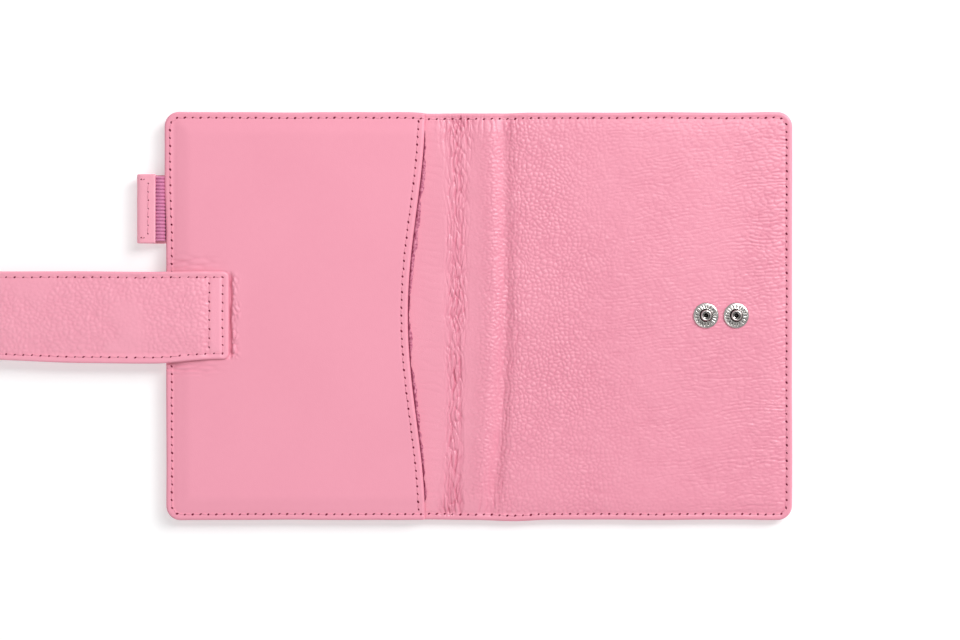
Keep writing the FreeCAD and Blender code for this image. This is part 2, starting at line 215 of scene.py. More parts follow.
def settled(x, y):
    """The small unevenness of the sewn outline: drawn in at the spine's top, and never quite straight."""
    at_spine = smooth(-24.0, -16.0, x) * (1 - smooth(8.0, 18.0, x))
    drawn_in = np.where(y > 0, 0.4 * at_spine, -0.4 - 0.5 * bump(x, 12.0, 9.0))
    wander = 0.13 * drift(x, 21.0, 31) + 0.07 * drift(x, 7.0, 32)
    reach = (np.abs(y) / HALF) ** 3
    side = 0.1 * drift(y, 25.0, 33) * smooth(60.0, EDGE, np.abs(x))
    fore_edge = along(y, (-HALF, 0.6), (30, 0.65), (45, 1.25), (HALF, 1.2)) * smooth(-70.0, -EDGE, x)
    side = side - fore_edge + 0.33 * smooth(70.0, EDGE, x)
    return x + side, y - np.sign(y) * reach * (drawn_in - wander)


def spine_shape(x, y):
    """The spine's hollows and its soft ridge, which lean to the back cover near the bottom."""
    ridge_x = along(y, (-HALF, -1.5), (-50, 0.6), (-30, 2.2), (10, 4.0), (HALF, 3.6))
    hollow_x = along(y, (-HALF, 3.4), (-55, 5.4), (-35, 7.6), (0, 9.0), (HALF, 8.4))
    ends = smooth(0.0, 12.0, HALF - np.abs(y))
    flank = np.where(x > ridge_x, 2.7, 4.6)
    ridge = 0.6 * np.exp(-(((x - ridge_x) / flank) ** 2))
    left_hollow = -0.12 * bump(x, -4.4, 2.6)
    hollow_depth = along(y, (-HALF, 0.6), (-55, 1.0), (-10, 1.0), (40, 0.75), (HALF, 0.7))
    right_hollow = -hollow_depth * bump(x, hollow_x, 2.2)
    swell = 0.16 * noise(x, y, 13.0, 41) + 0.08 * noise(x, y, 5.0, 42)
    return (0.3 + 0.7 * ends) * (ridge + left_hollow + right_hollow) + swell


def back_crease_wrinkles(x, y, sway):
    """The tight bundle of strands beside the back cover's crease, with one long line through it."""
    left_x = along(y, (-HALF, -14.6), (-60, -13.6), (-40, -12.2), (0, -12.2), (50, -11.8), (60, -13.0),
                   (HALF, -14.2))
    right_x = along(y, (-HALF, -5.0), (-40, -5.6), (0, -4.2), (50, -3.6), (60, -2.2), (HALF, -0.8))
    across_zone = (2 * x - left_x - right_x) / (right_x - left_x)
    zone = np.exp(-1.3 * across_zone**2 - 0.4 * across_zone**6)
    depth = 0.52 + 0.2 * noise(x, y, 7.0, 56)
    cells = 0.8 * net(x + sway, y, 1.5, 6.0, 52) ** 1.6
    bundle = zone * depth * (strands(x + 0.5 * sway, y, 1.6, 1.7, 43) + cells)
    fine = zone * (0.12 * strands(x, y, 0.8, 0.9, 47) + 0.3 * strands(x - 0.3 * sway, y, 1.15, 1.3, 44))
    line = 0.35 * bump(x + sway, -6.8, 0.45) * (0.6 + 0.4 * drift(y, 9.0, 55))
    return bundle + fine + line


def front_crease_wrinkles(x, y, sway):
    """The looser strands in the hollow beside the front cover's crease."""
    centre = along(y, (-HALF, 3.2), (-60, 5.6), (-50, 8.2), (-35, 9.8), (0, 11.2), (45, 11.4), (HALF, 10.6))
    cells = 0.55 * net(x + 0.6 * sway, y, 1.4, 5.0, 57) ** 1.5
    depth = 0.2 + 0.1 * noise(x, y, 8.0, 58)
    return bump(x, centre, 3.2) * (strands(x + 0.4 * sway, y, 1.5, 1.3, 65) + cells) * depth


def ridge_wrinkles(x, y):
    """Fine curved wrinkles across the spine's ridge."""
    ridge_x = along(y, (-HALF, -1.0), (-40, 1.5), (0, 3.6), (HALF, 4.0))
    zone = bump(x, ridge_x, 4.6) * smooth(1.0, 12.0, HALF - np.abs(y))
    arc = y + 0.05 * (x - ridge_x) ** 2 + 1.7 * noise(x, y, 7.0, 59) + 0.6 * noise(x, y, 2.6, 61)
    prints = 1.0 - np.abs(np.sin(arc * math.pi / 1.25))
    return zone * (0.09 * prints + 0.19 * net(x, y, 1.9, 1.3, 62))


def spine_wrinkles(x, y):
    """All the wrinkles of the spine, below zero. They fan out at both ends, where the seam holds them."""
    sway = 0.8 * drift(y, 11.0, 50) + 0.3 * drift(y, 4.0, 49)
    ends = smooth(HALF - 15.0, HALF - 3.0, np.abs(y)) * bump(x, 0.0, 14.0)
    fans = ends * strands(x + 0.5 * sway, y, 2.1, 1.2, 68) * 0.34
    creased = back_crease_wrinkles(x, y, sway) + front_crease_wrinkles(x, y, sway)
    return -(creased + ridge_wrinkles(x, y) + fans)


def pebbles(x, y):
    """The front cover's raised grain: round pebbles near the spine, drawn out into soft waves beyond."""
    drawn = smooth(24.0, 64.0, x + 0.15 * y + 9.0 * noise(x, y, 22.0, 70))
    round_net = net(x, y, 1.6, 1.4, 71)
    long_net = net(x + 0.5 * y, y - 0.12 * x, 2.7, 1.3, 72)
    slant = y - 0.1 * x + 0.8 * noise(x, y, 9.0, 76)
    ripples = strands(slant, 0.55 * x, 1.2, 0.8, 74)
    by_edge = smooth(80.0, 98.0, x + 4.0 * noise(x, y, 12.0, 78))
    strength = 0.85 + 0.3 * noise(x, y, 20.0, 73) + 0.4 * drawn * by_edge
    lumps = 0.2 * (1.0 - noise(x, y, 3.4, 75))
    soft = 0.45 * long_net + 0.6 * ripples
    return -0.26 * strength * ((1 - drawn) * round_net + drawn * soft + lumps)


def rim_shape(inset):
    """The sewn rim: a groove along the stitches and a slight fall outside it."""
    groove = -0.2 * bump(inset, STITCH_INSET, 0.55)
    pull = -0.35 * (1 - smooth(1.5, 7.0, inset))
    return groove + pull


def cover_form(x, y):
    """The outside of the cover's leather without its wrinkles and grain."""
    inset = rim_inset(x, y)
    height = TOP + rim_shape(inset) + spine_shape(x, y) * smooth(22.0, 9.0, np.abs(x))
    height = height + 0.1 * noise(x, y, 30.0, 81) + 0.04 * noise(x, y, 11.0, 82)
    under_pocket = smooth(0.0, 1.0, mouth_x(y) - x)
    return height - 0.3 * under_pocket * (1 - smooth(3.0, 7.0, inset))


def cover_relief(x, y):
    """Wrinkles and grain of the cover's leather, all below zero."""
    inset = rim_inset(x, y)
    grainy = 0.15 + 0.85 * smooth(5.0, 12.0, x + 0.03 * (HALF - y))
    by_mouth = smooth(-24.0, -19.0, x) * smooth(-11.0, -14.0, x)
    pulled = -0.06 * strands(y + 0.1 * x, x, 2.6, 1.2, 84) * by_mouth
    near_mouth = smooth(-15.0, -10.0, x)
    grain = pebbles(x, y) * grainy * near_mouth * smooth(0.2, 2.2, inset)
    return (spine_wrinkles(x, y) + pulled) * smooth(0.3, 3.2, inset) + grain


def cover_height(x, y):
    return cover_form(x, y) + cover_relief(x, y)


def beside_strap(x, y):
    """The pocket leather that the sewn strap pulls on: a trench along its end, and puckers round it."""
    beside = 1 - smooth(STRAP_HALF - 2.5, STRAP_HALF + 0.5, np.abs(y))
    ragged = 0.25 * drift(y, 2.2, 96)
    past = x - STRAP_SEWN_END
    trench = -0.9 * bump(past, 0.4 + ragged, 0.65) * beside
    frayed = past + 0.9 * drift(y, 3.1, 90)
    tight = smooth(0.6, 1.3, past) * (1 - smooth(1.4, 4.0, frayed)) * (0.6 + 0.4 * smooth(6.0, -6.0, y))
    slack = 0.12 * smooth(0.4, 1.0, past) * (1 - smooth(2.0, 7.0, past))
    crumple = beside * (tight * (0.6 - net(x, y, 1.5, 2.6, 94)) + slack)
    beyond_edges = bump(np.abs(y), STRAP_HALF + 3.0, 2.4) * (1 - smooth(-100.0, -84.0, x))
    folds = -0.4 * beyond_edges * net(x, y, 6.0, 1.6, 95)
    return trench + crumple + folds


def pocket_height(x, y):
    """The outside of the slip pocket, sewn down on three sides, with a lip that stands a little open."""
    inset = rim_inset(x, y)
    to_mouth = mouth_x(y) - x
    sewn = 1 - smooth(1.5, 8.0, inset)
    open_here = smooth(1.0, 14.0, HALF - np.abs(y))
    lip = open_here * np.exp(-np.maximum(to_mouth, 0.0) / 8.0) * (0.35 + 0.22 * drift(y, 17.0, 91))
    grooves = -0.16 * bump(inset, STITCH_INSET, 0.55) - 0.07 * bump(to_mouth, MOUTH_STITCH, 0.6)
    rolling = 0.14 * noise(x, y, 34.0, 92) + 0.03 * noise(x, y, 12.0, 93)
    return POCKET_TOP - 0.62 * sewn + lip + grooves + rolling * smooth(0, 5, inset) + beside_strap(x, y)


# ---------------------------------------------------------------- mesh builders

def add_object(name, points, faces, depth=None):
    """A mesh piece from points in millimetres.

    Its resting place is kept for the leather grain, and for the painted shade how much each point is
    darkened, most in creases and hollows."""
    mesh = bpy.data.meshes.new(name)
    points = np.asarray(points, float)
    mesh.from_pydata((points * MM).tolist(), [], [list(f) for f in faces])
    mesh.polygons.foreach_set("use_smooth", np.ones(len(mesh.polygons), bool))
    rest = mesh.attributes.new("rest_mm", "FLOAT_VECTOR", "POINT")
    rest.data.foreach_set("vector", points.astype(np.float32).ravel())
    creased = mesh.attributes.new("painted_shade", "FLOAT", "POINT")
    if depth is not None:
        full = np.zeros(len(points), np.float32)
        full[:len(depth)] = np.clip(depth, 0.0, 1.0)
        creased.data.foreach_set("value", full)
    mesh.update()
    piece = bpy.data.objects.new(name, mesh)
    bpy.context.scene.collection.objects.link(piece)
    return piece


def closed_sheet(name, outside, inside, cuts=(), depth=None):
    """A closed sheet from its two faces, each a grid of points. Where it is cut the edge stays crisp."""
    nx, ny = outside.shape[:2]
    index = np.arange(nx * ny).reshape(nx, ny)
    a, b, c, d = index[:-1, :-1], index[1:, :-1], index[1:, 1:], index[:-1, 1:]
    upper = np.stack([a, b, c, d], -1).reshape(-1, 4)
    lower = np.stack([a, d, c, b], -1).reshape(-1, 4) + nx * ny
    points = [outside.reshape(-1, 3), inside.reshape(-1, 3)]
    faces = [upper, lower]
    count = 2 * nx * ny
    rims = {"left": index[0, ::-1], "right": index[-1, :], "low": index[:, 0], "high": index[::-1, -1]}
    for side, rim in rims.items():
        above, below = rim, rim + nx * ny
        if side in cuts:
            flat = np.concatenate([outside.reshape(-1, 3)[rim], inside.reshape(-1, 3)[rim]])
            points.append(flat)
            above = np.arange(count, count + len(rim))
            below = above + len(rim)
            count += len(flat)
        faces.append(np.stack([below[:-1], below[1:], above[1:], above[:-1]], -1))
    if depth is not None:
        depth = depth.ravel()
    return add_object(name, np.concatenate(points), np.concatenate(faces), depth)


def roll(inset, radius):
    """How far a rolled edge has dropped at each distance in from it."""
    if radius <= 0:
        return 0.0 * inset
    out = radius - np.minimum(inset, radius)
    return radius - np.sqrt(np.maximum(radius**2 - out**2, 0.0))


def grid_lines(low, high, spans, free_low=True, free_high=True):
    """Lines from low to high, close together at free edges. spans lists (where it ends, step)."""
    first = [low + d for d in EDGE_INSETS] if free_low else [low]
    last = [high - d for d in EDGE_INSETS] if free_high else [high]
    at, stop_at = max(first), min(last)
    middle = []
    for end, step in spans:
        stop = min(end, stop_at)
        if stop > at:
            count = max(1, round((stop - at) / step))
            middle += list(np.linspace(at, stop, count + 1))
            at = stop
    return np.unique(np.round(first + middle + last, 4))


def leather_sheet(name, xs, ys, top, under, free, corners, rolls, place=None, cuts=(), depth=None):
    """A sheet of leather over a grid.

    top and under are heights or functions of x and y; free names the free sides; corners gives the
    corner radius at the left and the right; rolls gives the edge radius above and below; place may
    move a point (x, y) of the plain outline to where it really lies; depth tells how much painted shade
    each point gets, as deep as it is creased."""
    x, y = np.meshgrid(xs, ys, indexing="ij")
    inset = np.full(x.shape, 1e6)
    sides = {"left": x - xs[0], "right": xs[-1] - x, "low": y - ys[0], "high": ys[-1] - y}
    for side in free:
        inset = np.minimum(inset, sides[side])
    for radius, across in zip(corners, (sides["left"], sides["right"])):
        if radius <= 0:
            continue
        for upright in (sides["low"], sides["high"]):
            inner_x, inner_y = radius - across, radius - upright
            zone = (inner_x > 0) & (inner_y > 0)
            reach = np.maximum(inner_x, inner_y)
            factor = np.where(zone, reach / np.maximum(np.hypot(inner_x, inner_y), 1e-9), 1.0)
            x_sign = -1.0 if across is sides["left"] else 1.0
            y_sign = -1.0 if upright is sides["low"] else 1.0
            x = np.where(zone, x - x_sign * inner_x * (1 - factor), x)
            y = np.where(zone, y - y_sign * inner_y * (1 - factor), y)
    if place:
        x, y = place(x, y)
    z_top = top(x, y) if callable(top) else np.full(x.shape, float(top))
    z_under = under(x, y) if callable(under) else np.full(x.shape, float(under))
    z_top = z_top - roll(inset, rolls[0])
    z_under = z_under + roll(inset, rolls[1])
    creased = depth(x, y) if depth else None
    return closed_sheet(name, np.stack([x, y, z_top], -1), np.stack([x, y, z_under], -1), cuts, creased)


def ribbon(name, line, thick, ys, ripple=None, shade=None):
    """A band that follows an (x, z) line and runs along Y, with its thickness on both sides of the line."""
    line = np.asarray(line, float)
    ahead = np.gradient(line, axis=0)
    ahead /= np.linalg.norm(ahead, axis=1)[:, None]
    normal = np.stack([-ahead[:, 1], ahead[:, 0]], -1)
    nx, ny = len(line), len(ys)
    at = np.arange(nx) / (nx - 1)
    thin = np.sqrt(np.clip(np.minimum(at, 1 - at) * nx / 2.5, 0.0, 1.0))
    y = np.broadcast_to(ys, (nx, ny))
    end = np.minimum(y - ys[0], ys[-1] - y)
    rounded = np.sqrt(np.clip(1 - (1 - np.minimum(end / 0.4, 1.0)) ** 2, 0.02, 1.0))
    half = thick / 2 * thin[:, None] * rounded
    rise = ripple(at[:, None], y) if ripple else 0.0
    faces = []
    for side in (-1, 1):
        out = side * (half + rise)
        x = line[:, None, 0] + normal[:, None, 0] * out
        z = line[:, None, 1] + normal[:, None, 1] * out
        faces.append(np.stack([x, y, z], -1))
    depth = shade(at[:, None], y) if shade else None
    sheet = closed_sheet(name, faces[0], faces[1])
    if depth is not None:
        both = np.concatenate([depth.ravel(), depth.ravel()]).astype(np.float32)
        sheet.data.attributes["painted_shade"].data.foreach_set("value", both)
    return sheet


def eased(points, per_span):
    """A smooth curve through given points (Catmull-Rom)."""
    p = np.asarray(points, float)
    p = np.vstack([2 * p[0] - p[1], p, 2 * p[-1] - p[-2]])
    t = np.linspace(0, 1, per_span, endpoint=False)[:, None]
    spans = []
    for a, b, c, d in zip(p[:-3], p[1:-2], p[2:-1], p[3:]):
        square = 2 * a - 5 * b + 4 * c - d
        cube = 3 * b - a - 3 * c + d
        spans.append(0.5 * (2 * b + (c - a) * t + square * t**2 + cube * t**3))
    return np.vstack(spans + [p[-2:-1]])


def lathe(name, profile, centre, segments=96, tweak=None, shade=None):
    """Turns (radius, height) points about an upright axis; the profile starts and ends on the axis."""
    angle = np.arange(segments) * 2 * math.pi / segments
    radius = np.array([p[0] for p in profile])[:, None]
    height = np.array([p[1] for p in profile])[:, None] + 0 * angle
    if tweak:
        height = height + tweak(radius + 0 * angle, height, angle)
    x = centre[0] + radius * np.cos(angle)
    y = centre[1] + radius * np.sin(angle)
    points = np.stack([x, y, centre[2] + height], -1).reshape(-1, 3)
    faces = []
    for low in range(0, (len(profile) - 1) * segments, segments):
        high = low + segments
        for k in range(segments):
            n = (k + 1) % segments
            faces.append((low + k, low + n, high + n, high + k))
    depth = shade(radius + 0 * angle, height, angle).ravel() if shade else None
    return add_object(name, points, faces, depth)


# ---------------------------------------------------------------- stitching

THREAD_RADIUS = 0.2
THREAD_RINGS = 7
THREAD_SIDES = 8
# The needle holes are drawn as dark discs of painted shadow; these are their half length and half width.
HOLE_LONG = 0.48
HOLE_WIDE = 0.31
RING = np.arange(THREAD_SIDES) * 2 * math.pi / THREAD_SIDES


def walk(points, pitch):
    """Points spaced evenly along a polyline, half a stitch in from its start, with their directions."""
    points = np.asarray(points, float)
    steps = np.linalg.norm(np.diff(points, axis=0), axis=1)
    run = np.concatenate([[0], np.cumsum(steps)])
    count = max(2, int(round(run[-1] / pitch)))
    at = (np.arange(count) + 0.5) * run[-1] / count
    where = np.stack([np.interp(at, run, points[:, k]) for k in range(2)], -1)
    ahead = np.stack([np.interp(at + 0.2, run, points[:, k]) for k in range(2)], -1)
    behind = np.stack([np.interp(at - 0.2, run, points[:, k]) for k in range(2)], -1)
    direction = ahead - behind
    direction /= np.linalg.norm(direction, axis=1)[:, None]
    return where, direction


def thread_tube(start, end, height, up, sink):
    """The thread of one stitch. It is fullest in its middle and thin where it goes into the leather."""
    run = end - start
    across = np.array([-run[1], run[0]]) / np.linalg.norm(run)
    rows = []
    for k in range(THREAD_RINGS):
        swell = math.sin(math.pi * (0.04 + 0.92 * k / (THREAD_RINGS - 1)))
        centre = start + run * (0.13 + 0.74 * k / (THREAD_RINGS - 1))
        level = float(height(centre[0], centre[1])) + up * (0.14 * swell - 0.09 + sink)
        radius = THREAD_RADIUS * (0.35 + 0.65 * swell**0.5)
        flat = centre + across * (radius * np.cos(RING))[:, None]
        rows.append(np.column_stack([flat, level + radius * 0.8 * np.sin(RING)]))
    return np.vstack(rows)


def tube_faces(base):
    """The faces of one thread, which is closed at both ends."""
    faces = []
    for low in range(base, base + (THREAD_RINGS - 1) * THREAD_SIDES, THREAD_SIDES):
        high = low + THREAD_SIDES
        for s in range(THREAD_SIDES):
            n = (s + 1) % THREAD_SIDES
            faces.append((low + s, low + n, high + n, high + s))
    last = base + (THREAD_RINGS - 1) * THREAD_SIDES
    faces.append(tuple(base + s for s in reversed(range(THREAD_SIDES))))
    faces.append(tuple(last + s for s in range(THREAD_SIDES)))
    return faces


def needle_hole(point, ahead, height, up, long, wide):
    """A dark slanted disc of painted shadow lying on the leather where one needle hole is."""
    across = np.array([-ahead[1], ahead[0]])
    turned = ahead * math.cos(0.5) + across * math.sin(0.5)
    normal = np.array([-turned[1], turned[0]])
    flat = point + turned * (long * np.cos(RING))[:, None] + normal * (wide * np.sin(RING))[:, None]
    rim = np.column_stack([flat, height(flat[:, 0], flat[:, 1]) + up * 0.03])
    middle = max(up * float(height(point[0], point[1])), up * float(rim[:, 2].mean())) + 0.07
    return np.vstack([rim, [[point[0], point[1], up * middle]]])


def stitch_line(path, height, sink=0.0, up=1.0, seed=1, hole=1.0, pitch=STITCH_PITCH):
    """Thread points and faces, and the points and faces of the painted needle-hole shadows, along a path of
    (x, y) points.

    up is 1 on the outside and -1 on the inside; sink moves the thread along z; hole scales the hole shadows."""
    slant = 0.16
    where, direction = walk(path, pitch)
    side = np.stack([-direction[:, 1], direction[:, 0]], -1)
    jitter = 0.09 * drift(np.arange(len(where)) * 3.7, 1.0, seed)
    where = where + side * jitter[:, None]
    threads, thread_faces, holes, hole_faces = [], [], [], []
    for i in range(len(where) - 1):
        start, end = where[i] + side[i] * slant, where[i + 1] - side[i + 1] * slant
        if np.linalg.norm(end - start) <= 2 * pitch:
            thread_faces += tube_faces(len(threads) * THREAD_RINGS * THREAD_SIDES)
            threads.append(thread_tube(start, end, height, up, sink))
    for i, (point, ahead) in enumerate(zip(where, direction)):
        long = hole * (HOLE_LONG + 0.07 * math.sin(i * 2.3 + seed))
        wide = hole * (HOLE_WIDE + 0.05 * math.sin(i * 3.7 + seed))
        holes.append(needle_hole(point, ahead, height, up, long, wide))
        base = i * (THREAD_SIDES + 1)
        for s in range(THREAD_SIDES):
            hole_faces.append((base + s, base + (s + 1) % THREAD_SIDES, base + THREAD_SIDES))
    return threads, thread_faces, holes, hole_faces


def sew(name, lines, finish):
    for part, first in (("thread", 0), ("needle_hole_shadows", 2)):
        points, faces, count = [], [], 0
        for line in lines:
            group, quads = line[first], line[first + 1]
            if not group:
                continue
            points += group
            faces += [tuple(v + count for v in f) for f in quads]
            count += sum(len(g) for g in group)
        piece = add_object(name + "_" + part, np.vstack(points), faces)
        dress(piece, THREAD if part == "thread" else NEEDLE_HOLE_SHADOW)
        finish(piece)


def rim_path(side):
    """The line of the rim's stitches on one half, from the spine's middle round the fore-edge and back."""
    radius = CORNER - STITCH_INSET
    angles = np.linspace(0, math.pi / 2, 9)
    upper = [(EDGE - CORNER + radius * math.sin(a), HALF - CORNER + radius * math.cos(a)) for a in angles]
    lower = [(x, -y) for x, y in reversed(upper)]
    start = [(x, HALF - STITCH_INSET) for x in np.linspace(0.0, EDGE - CORNER - 1, 40)]
    end = [(x, -y) for x, y in reversed(start)]
    side_run = [(EDGE - STITCH_INSET, y) for y in np.linspace(HALF - CORNER - 1, CORNER + 1 - HALF, 40)]
    points = np.array(start + upper + side_run + lower + end)
    points[:, 0] *= side
    x, y = settled(points[:, 0], points[:, 1])
    return np.column_stack([x, y])


# ---------------------------------------------------------------- shader groups and materials

def new_group(name, inputs, outputs):
    """A shader node group with named sockets. Returns it with its input and output nodes."""
    group = bpy.data.node_groups.new(name, "ShaderNodeTree")
    for label, kind, default in inputs:
        socket = group.interface.new_socket(label, in_out="INPUT", socket_type=kind)
        if default is not None:
            socket.default_value = default
    for label, kind in outputs:
        group.interface.new_socket(label, in_out="OUTPUT", socket_type=kind)
    return group, group.nodes.new("NodeGroupInput"), group.nodes.new("NodeGroupOutput")


def feed(tree, made, **inputs):
    """Links a node's inputs to sockets or sets them to values.

    They are given by socket name, or as i0, i1 and so on by their order."""
    for key, value in inputs.items():
        by_order = key[0] == "i" and key[1:].isdigit()
        socket = made.inputs[int(key[1:]) if by_order else key.replace("_", " ")]
        if isinstance(value, bpy.types.NodeSocket):
            tree.links.new(value, socket)
        else:
            socket.default_value = value


def node(tree, kind, settings=None, **inputs):
    """Adds a node with its settings and its inputs."""
    made = tree.nodes.new(kind)
    for key, value in (settings or {}).items():
        setattr(made, key, value)
    feed(tree, made, **inputs)
    return made


def math_node(tree, operation, a, b=0.0, clamp=False):
    return node(tree, "ShaderNodeMath", {"operation": operation, "use_clamp": clamp}, i0=a, i1=b).outputs[0]


def remap(tree, value, low, high, to_low=0.0, to_high=1.0):
    made = node(tree, "ShaderNodeMapRange", {"clamp": True}, i0=value, i1=low, i2=high, i3=to_low, i4=to_high)
    return made.outputs[0]


def mix_colour(tree, factor, a, b):
    return node(tree, "ShaderNodeMix", {"data_type": "RGBA"}, i0=factor, i6=a, i7=b).outputs[2]


def make_grain_group():
    """Leather grain: pebbles with fine creases between them, and pores. Sizes in millimetres."""
    group, start, end = new_group(
        "leather_grain",
        [("Vector", "NodeSocketVector", None), ("Pebble Size", "NodeSocketFloat", 1.2),
         ("Stretch", "NodeSocketFloat", 1.0), ("Pore Size", "NodeSocketFloat", 0.35)],
        [("Height", "NodeSocketFloat"), ("Crease", "NodeSocketFloat")])
    wander = node(group, "ShaderNodeTexNoise", Vector=start.outputs["Vector"], Scale=0.55, Detail=2.0)
    offset = node(group, "ShaderNodeVectorMath", {"operation": "SUBTRACT"},
                  i0=wander.outputs["Color"], i1=(0.5, 0.5, 0.5))
    moved = node(group, "ShaderNodeVectorMath", {"operation": "MULTIPLY_ADD"},
                 i0=offset.outputs[0], i1=(1.6, 1.6, 1.6), i2=start.outputs["Vector"])
    split = node(group, "ShaderNodeSeparateXYZ", Vector=moved.outputs[0])
    long_x = math_node(group, "DIVIDE", split.outputs[0], start.outputs["Stretch"])
    joined = node(group, "ShaderNodeCombineXYZ", X=long_x, Y=split.outputs[1], Z=split.outputs[2])
    per_size = math_node(group, "DIVIDE", 1.0, start.outputs["Pebble Size"])
    cells = node(group, "ShaderNodeTexVoronoi", {"feature": "DISTANCE_TO_EDGE"},
                 Vector=joined.outputs[0], Scale=per_size, Randomness=1.0)
    pebble = remap(group, cells.outputs["Distance"], 0.0, 0.26)
    pebble = math_node(group, "POWER", pebble, 0.6)
    per_pore = math_node(group, "DIVIDE", 1.0, start.outputs["Pore Size"])
    pores = node(group, "ShaderNodeTexNoise", Vector=start.outputs["Vector"], Scale=per_pore,
                 Detail=3.0, Roughness=0.6)
    total = math_node(group, "ADD", pebble, math_node(group, "MULTIPLY", pores.outputs["Fac"], 0.35))
    crease = math_node(group, "SUBTRACT", 1.0, remap(group, cells.outputs["Distance"], 0.0, 0.14))
    feed(group, end, Height=total, Crease=crease)
    return group


def make_tone_group():
    """Leather colour: slow drifts of tone, with painted shade that darkens the creases of the grain and
    darkens the folds most.
    """
    group, start, end = new_group(
        "leather_tone",
        [("Vector", "NodeSocketVector", None), ("Light", "NodeSocketColor", (1, 1, 1, 1)),
         ("Deep", "NodeSocketColor", (0, 0, 0, 1)), ("Crease", "NodeSocketFloat", 0.0),
         ("Crease Strength", "NodeSocketFloat", 0.3), ("Fold", "NodeSocketFloat", 0.0),
         ("Folded", "NodeSocketColor", (0, 0, 0, 1))],
        [("Color", "NodeSocketColor"), ("Patch", "NodeSocketFloat")])
    slow = node(group, "ShaderNodeTexNoise", Vector=start.outputs["Vector"], Scale=0.035, Detail=3.0)
    quick = node(group, "ShaderNodeTexNoise", Vector=start.outputs["Vector"], Scale=0.5, Detail=4.0)
    patch = math_node(group, "ADD", math_node(group, "MULTIPLY", slow.outputs["Fac"], 0.7),
                      math_node(group, "MULTIPLY", quick.outputs["Fac"], 0.3))
    spread = remap(group, patch, 0.3, 0.7, 0.0, 0.42)
    # painted shade: the grain's creases are darkened as far as Crease Strength allows
    deepen = math_node(group, "MULTIPLY", start.outputs["Crease"], start.outputs["Crease Strength"])
    share = math_node(group, "ADD", spread, deepen, clamp=True)
    colour = mix_colour(group, share, start.outputs["Light"], start.outputs["Deep"])
    # painted shade: where a point lies deep in a fold, its colour goes towards the darker Folded colour
    colour = mix_colour(group, math_node(group, "MULTIPLY", start.outputs["Fold"], 0.6), colour,
                        start.outputs["Folded"])
    feed(group, end, Color=colour, Patch=patch)
    return group


def make_blotch_group():
    """Two tones mixed in soft blotches, for fibres and nap."""
    group, start, end = new_group(
        "two_tone_blotches",
        [("Vector", "NodeSocketVector", None), ("Blotch Scale", "NodeSocketFloat", 1.2),
         ("Detail", "NodeSocketFloat", 6.0), ("Low", "NodeSocketFloat", 0.35),
         ("High", "NodeSocketFloat", 0.65), ("Deep", "NodeSocketColor", (0, 0, 0, 1)),
         ("Light", "NodeSocketColor", (1, 1, 1, 1))],
        [("Color", "NodeSocketColor"), ("Blotch", "NodeSocketFloat")])
    cloud = node(group, "ShaderNodeTexNoise", Vector=start.outputs["Vector"],
                 Scale=start.outputs["Blotch Scale"], Detail=start.outputs["Detail"], Roughness=0.7)
    share = remap(group, cloud.outputs["Fac"], start.outputs["Low"], start.outputs["High"])
    colour = mix_colour(group, share, start.outputs["Deep"], start.outputs["Light"])
    feed(group, end, Color=colour, Blotch=cloud.outputs["Fac"])
    return group


def make_plate_group():
    """Plated metal: faint polishing marks, a little tarnish, and painted shade, near black, where it is
    hollow or pressed in.
    """
    group, start, end = new_group(
        "plated_metal",
        [("Vector", "NodeSocketVector", None), ("Bright", "NodeSocketColor", (1, 1, 1, 1)),
         ("Dull", "NodeSocketColor", (0.5, 0.5, 0.5, 1)), ("Recess", "NodeSocketFloat", 0.0),
         ("Smoothest", "NodeSocketFloat", 0.16), ("Roughest", "NodeSocketFloat", 0.32)],
        [("Color", "NodeSocketColor"), ("Roughness", "NodeSocketFloat"), ("Marks", "NodeSocketFloat")])
    marks = node(group, "ShaderNodeTexNoise", Vector=start.outputs["Vector"], Scale=3.0, Detail=5.0)
    tarnish = node(group, "ShaderNodeTexNoise", Vector=start.outputs["Vector"], Scale=0.6, Detail=3.0)
    share = remap(group, tarnish.outputs["Fac"], 0.4, 0.7)
    worn = mix_colour(group, share, start.outputs["Bright"], start.outputs["Dull"])
    # painted shade: near black where Recess is high
    colour = mix_colour(group, start.outputs["Recess"], worn, (0.02, 0.015, 0.015, 1))
    roughness = remap(group, marks.outputs["Fac"], 0.3, 0.7,
                      start.outputs["Smoothest"], start.outputs["Roughest"])
    feed(group, end, Color=colour, Roughness=roughness, Marks=marks.outputs["Fac"])
    return group


def new_material(name):
    """A material with its node tree and its shader."""
    material = bpy.data.materials.new(name)
    material.use_nodes = True
    tree = material.node_tree
    shader = tree.nodes["Principled BSDF"]
    return material, tree, shader


def rest_place(tree):
    """Coordinates in millimetres that stay with a piece when it bends."""
    return node(tree, "ShaderNodeAttribute", {"attribute_name": "rest_mm"}).outputs["Vector"]


def painted_shade(tree):
    return node(tree, "ShaderNodeAttribute", {"attribute_name": "painted_shade"}).outputs["Fac"]


def object_place(tree):
    """Coordinates in millimetres for carried-over pieces, which never bend."""
    coordinates = node(tree, "ShaderNodeTexCoord")
    return node(tree, "ShaderNodeVectorMath", {"operation": "SCALE"}, i0=coordinates.outputs["Object"],
                Scale=1000.0).outputs[0]


def place_group(tree, group, **inputs):
    """Puts a node group into a tree."""
    return node(tree, "ShaderNodeGroup", {"node_tree": group}, **inputs)


def raise_surface(tree, shader, height, distance, strength=1.0):
    """A bump of the given depth in millimetres."""
    relief = node(tree, "ShaderNodeBump", Height=height, Strength=strength, Distance=distance * MM)
    feed(tree, shader, Normal=relief.outputs["Normal"])


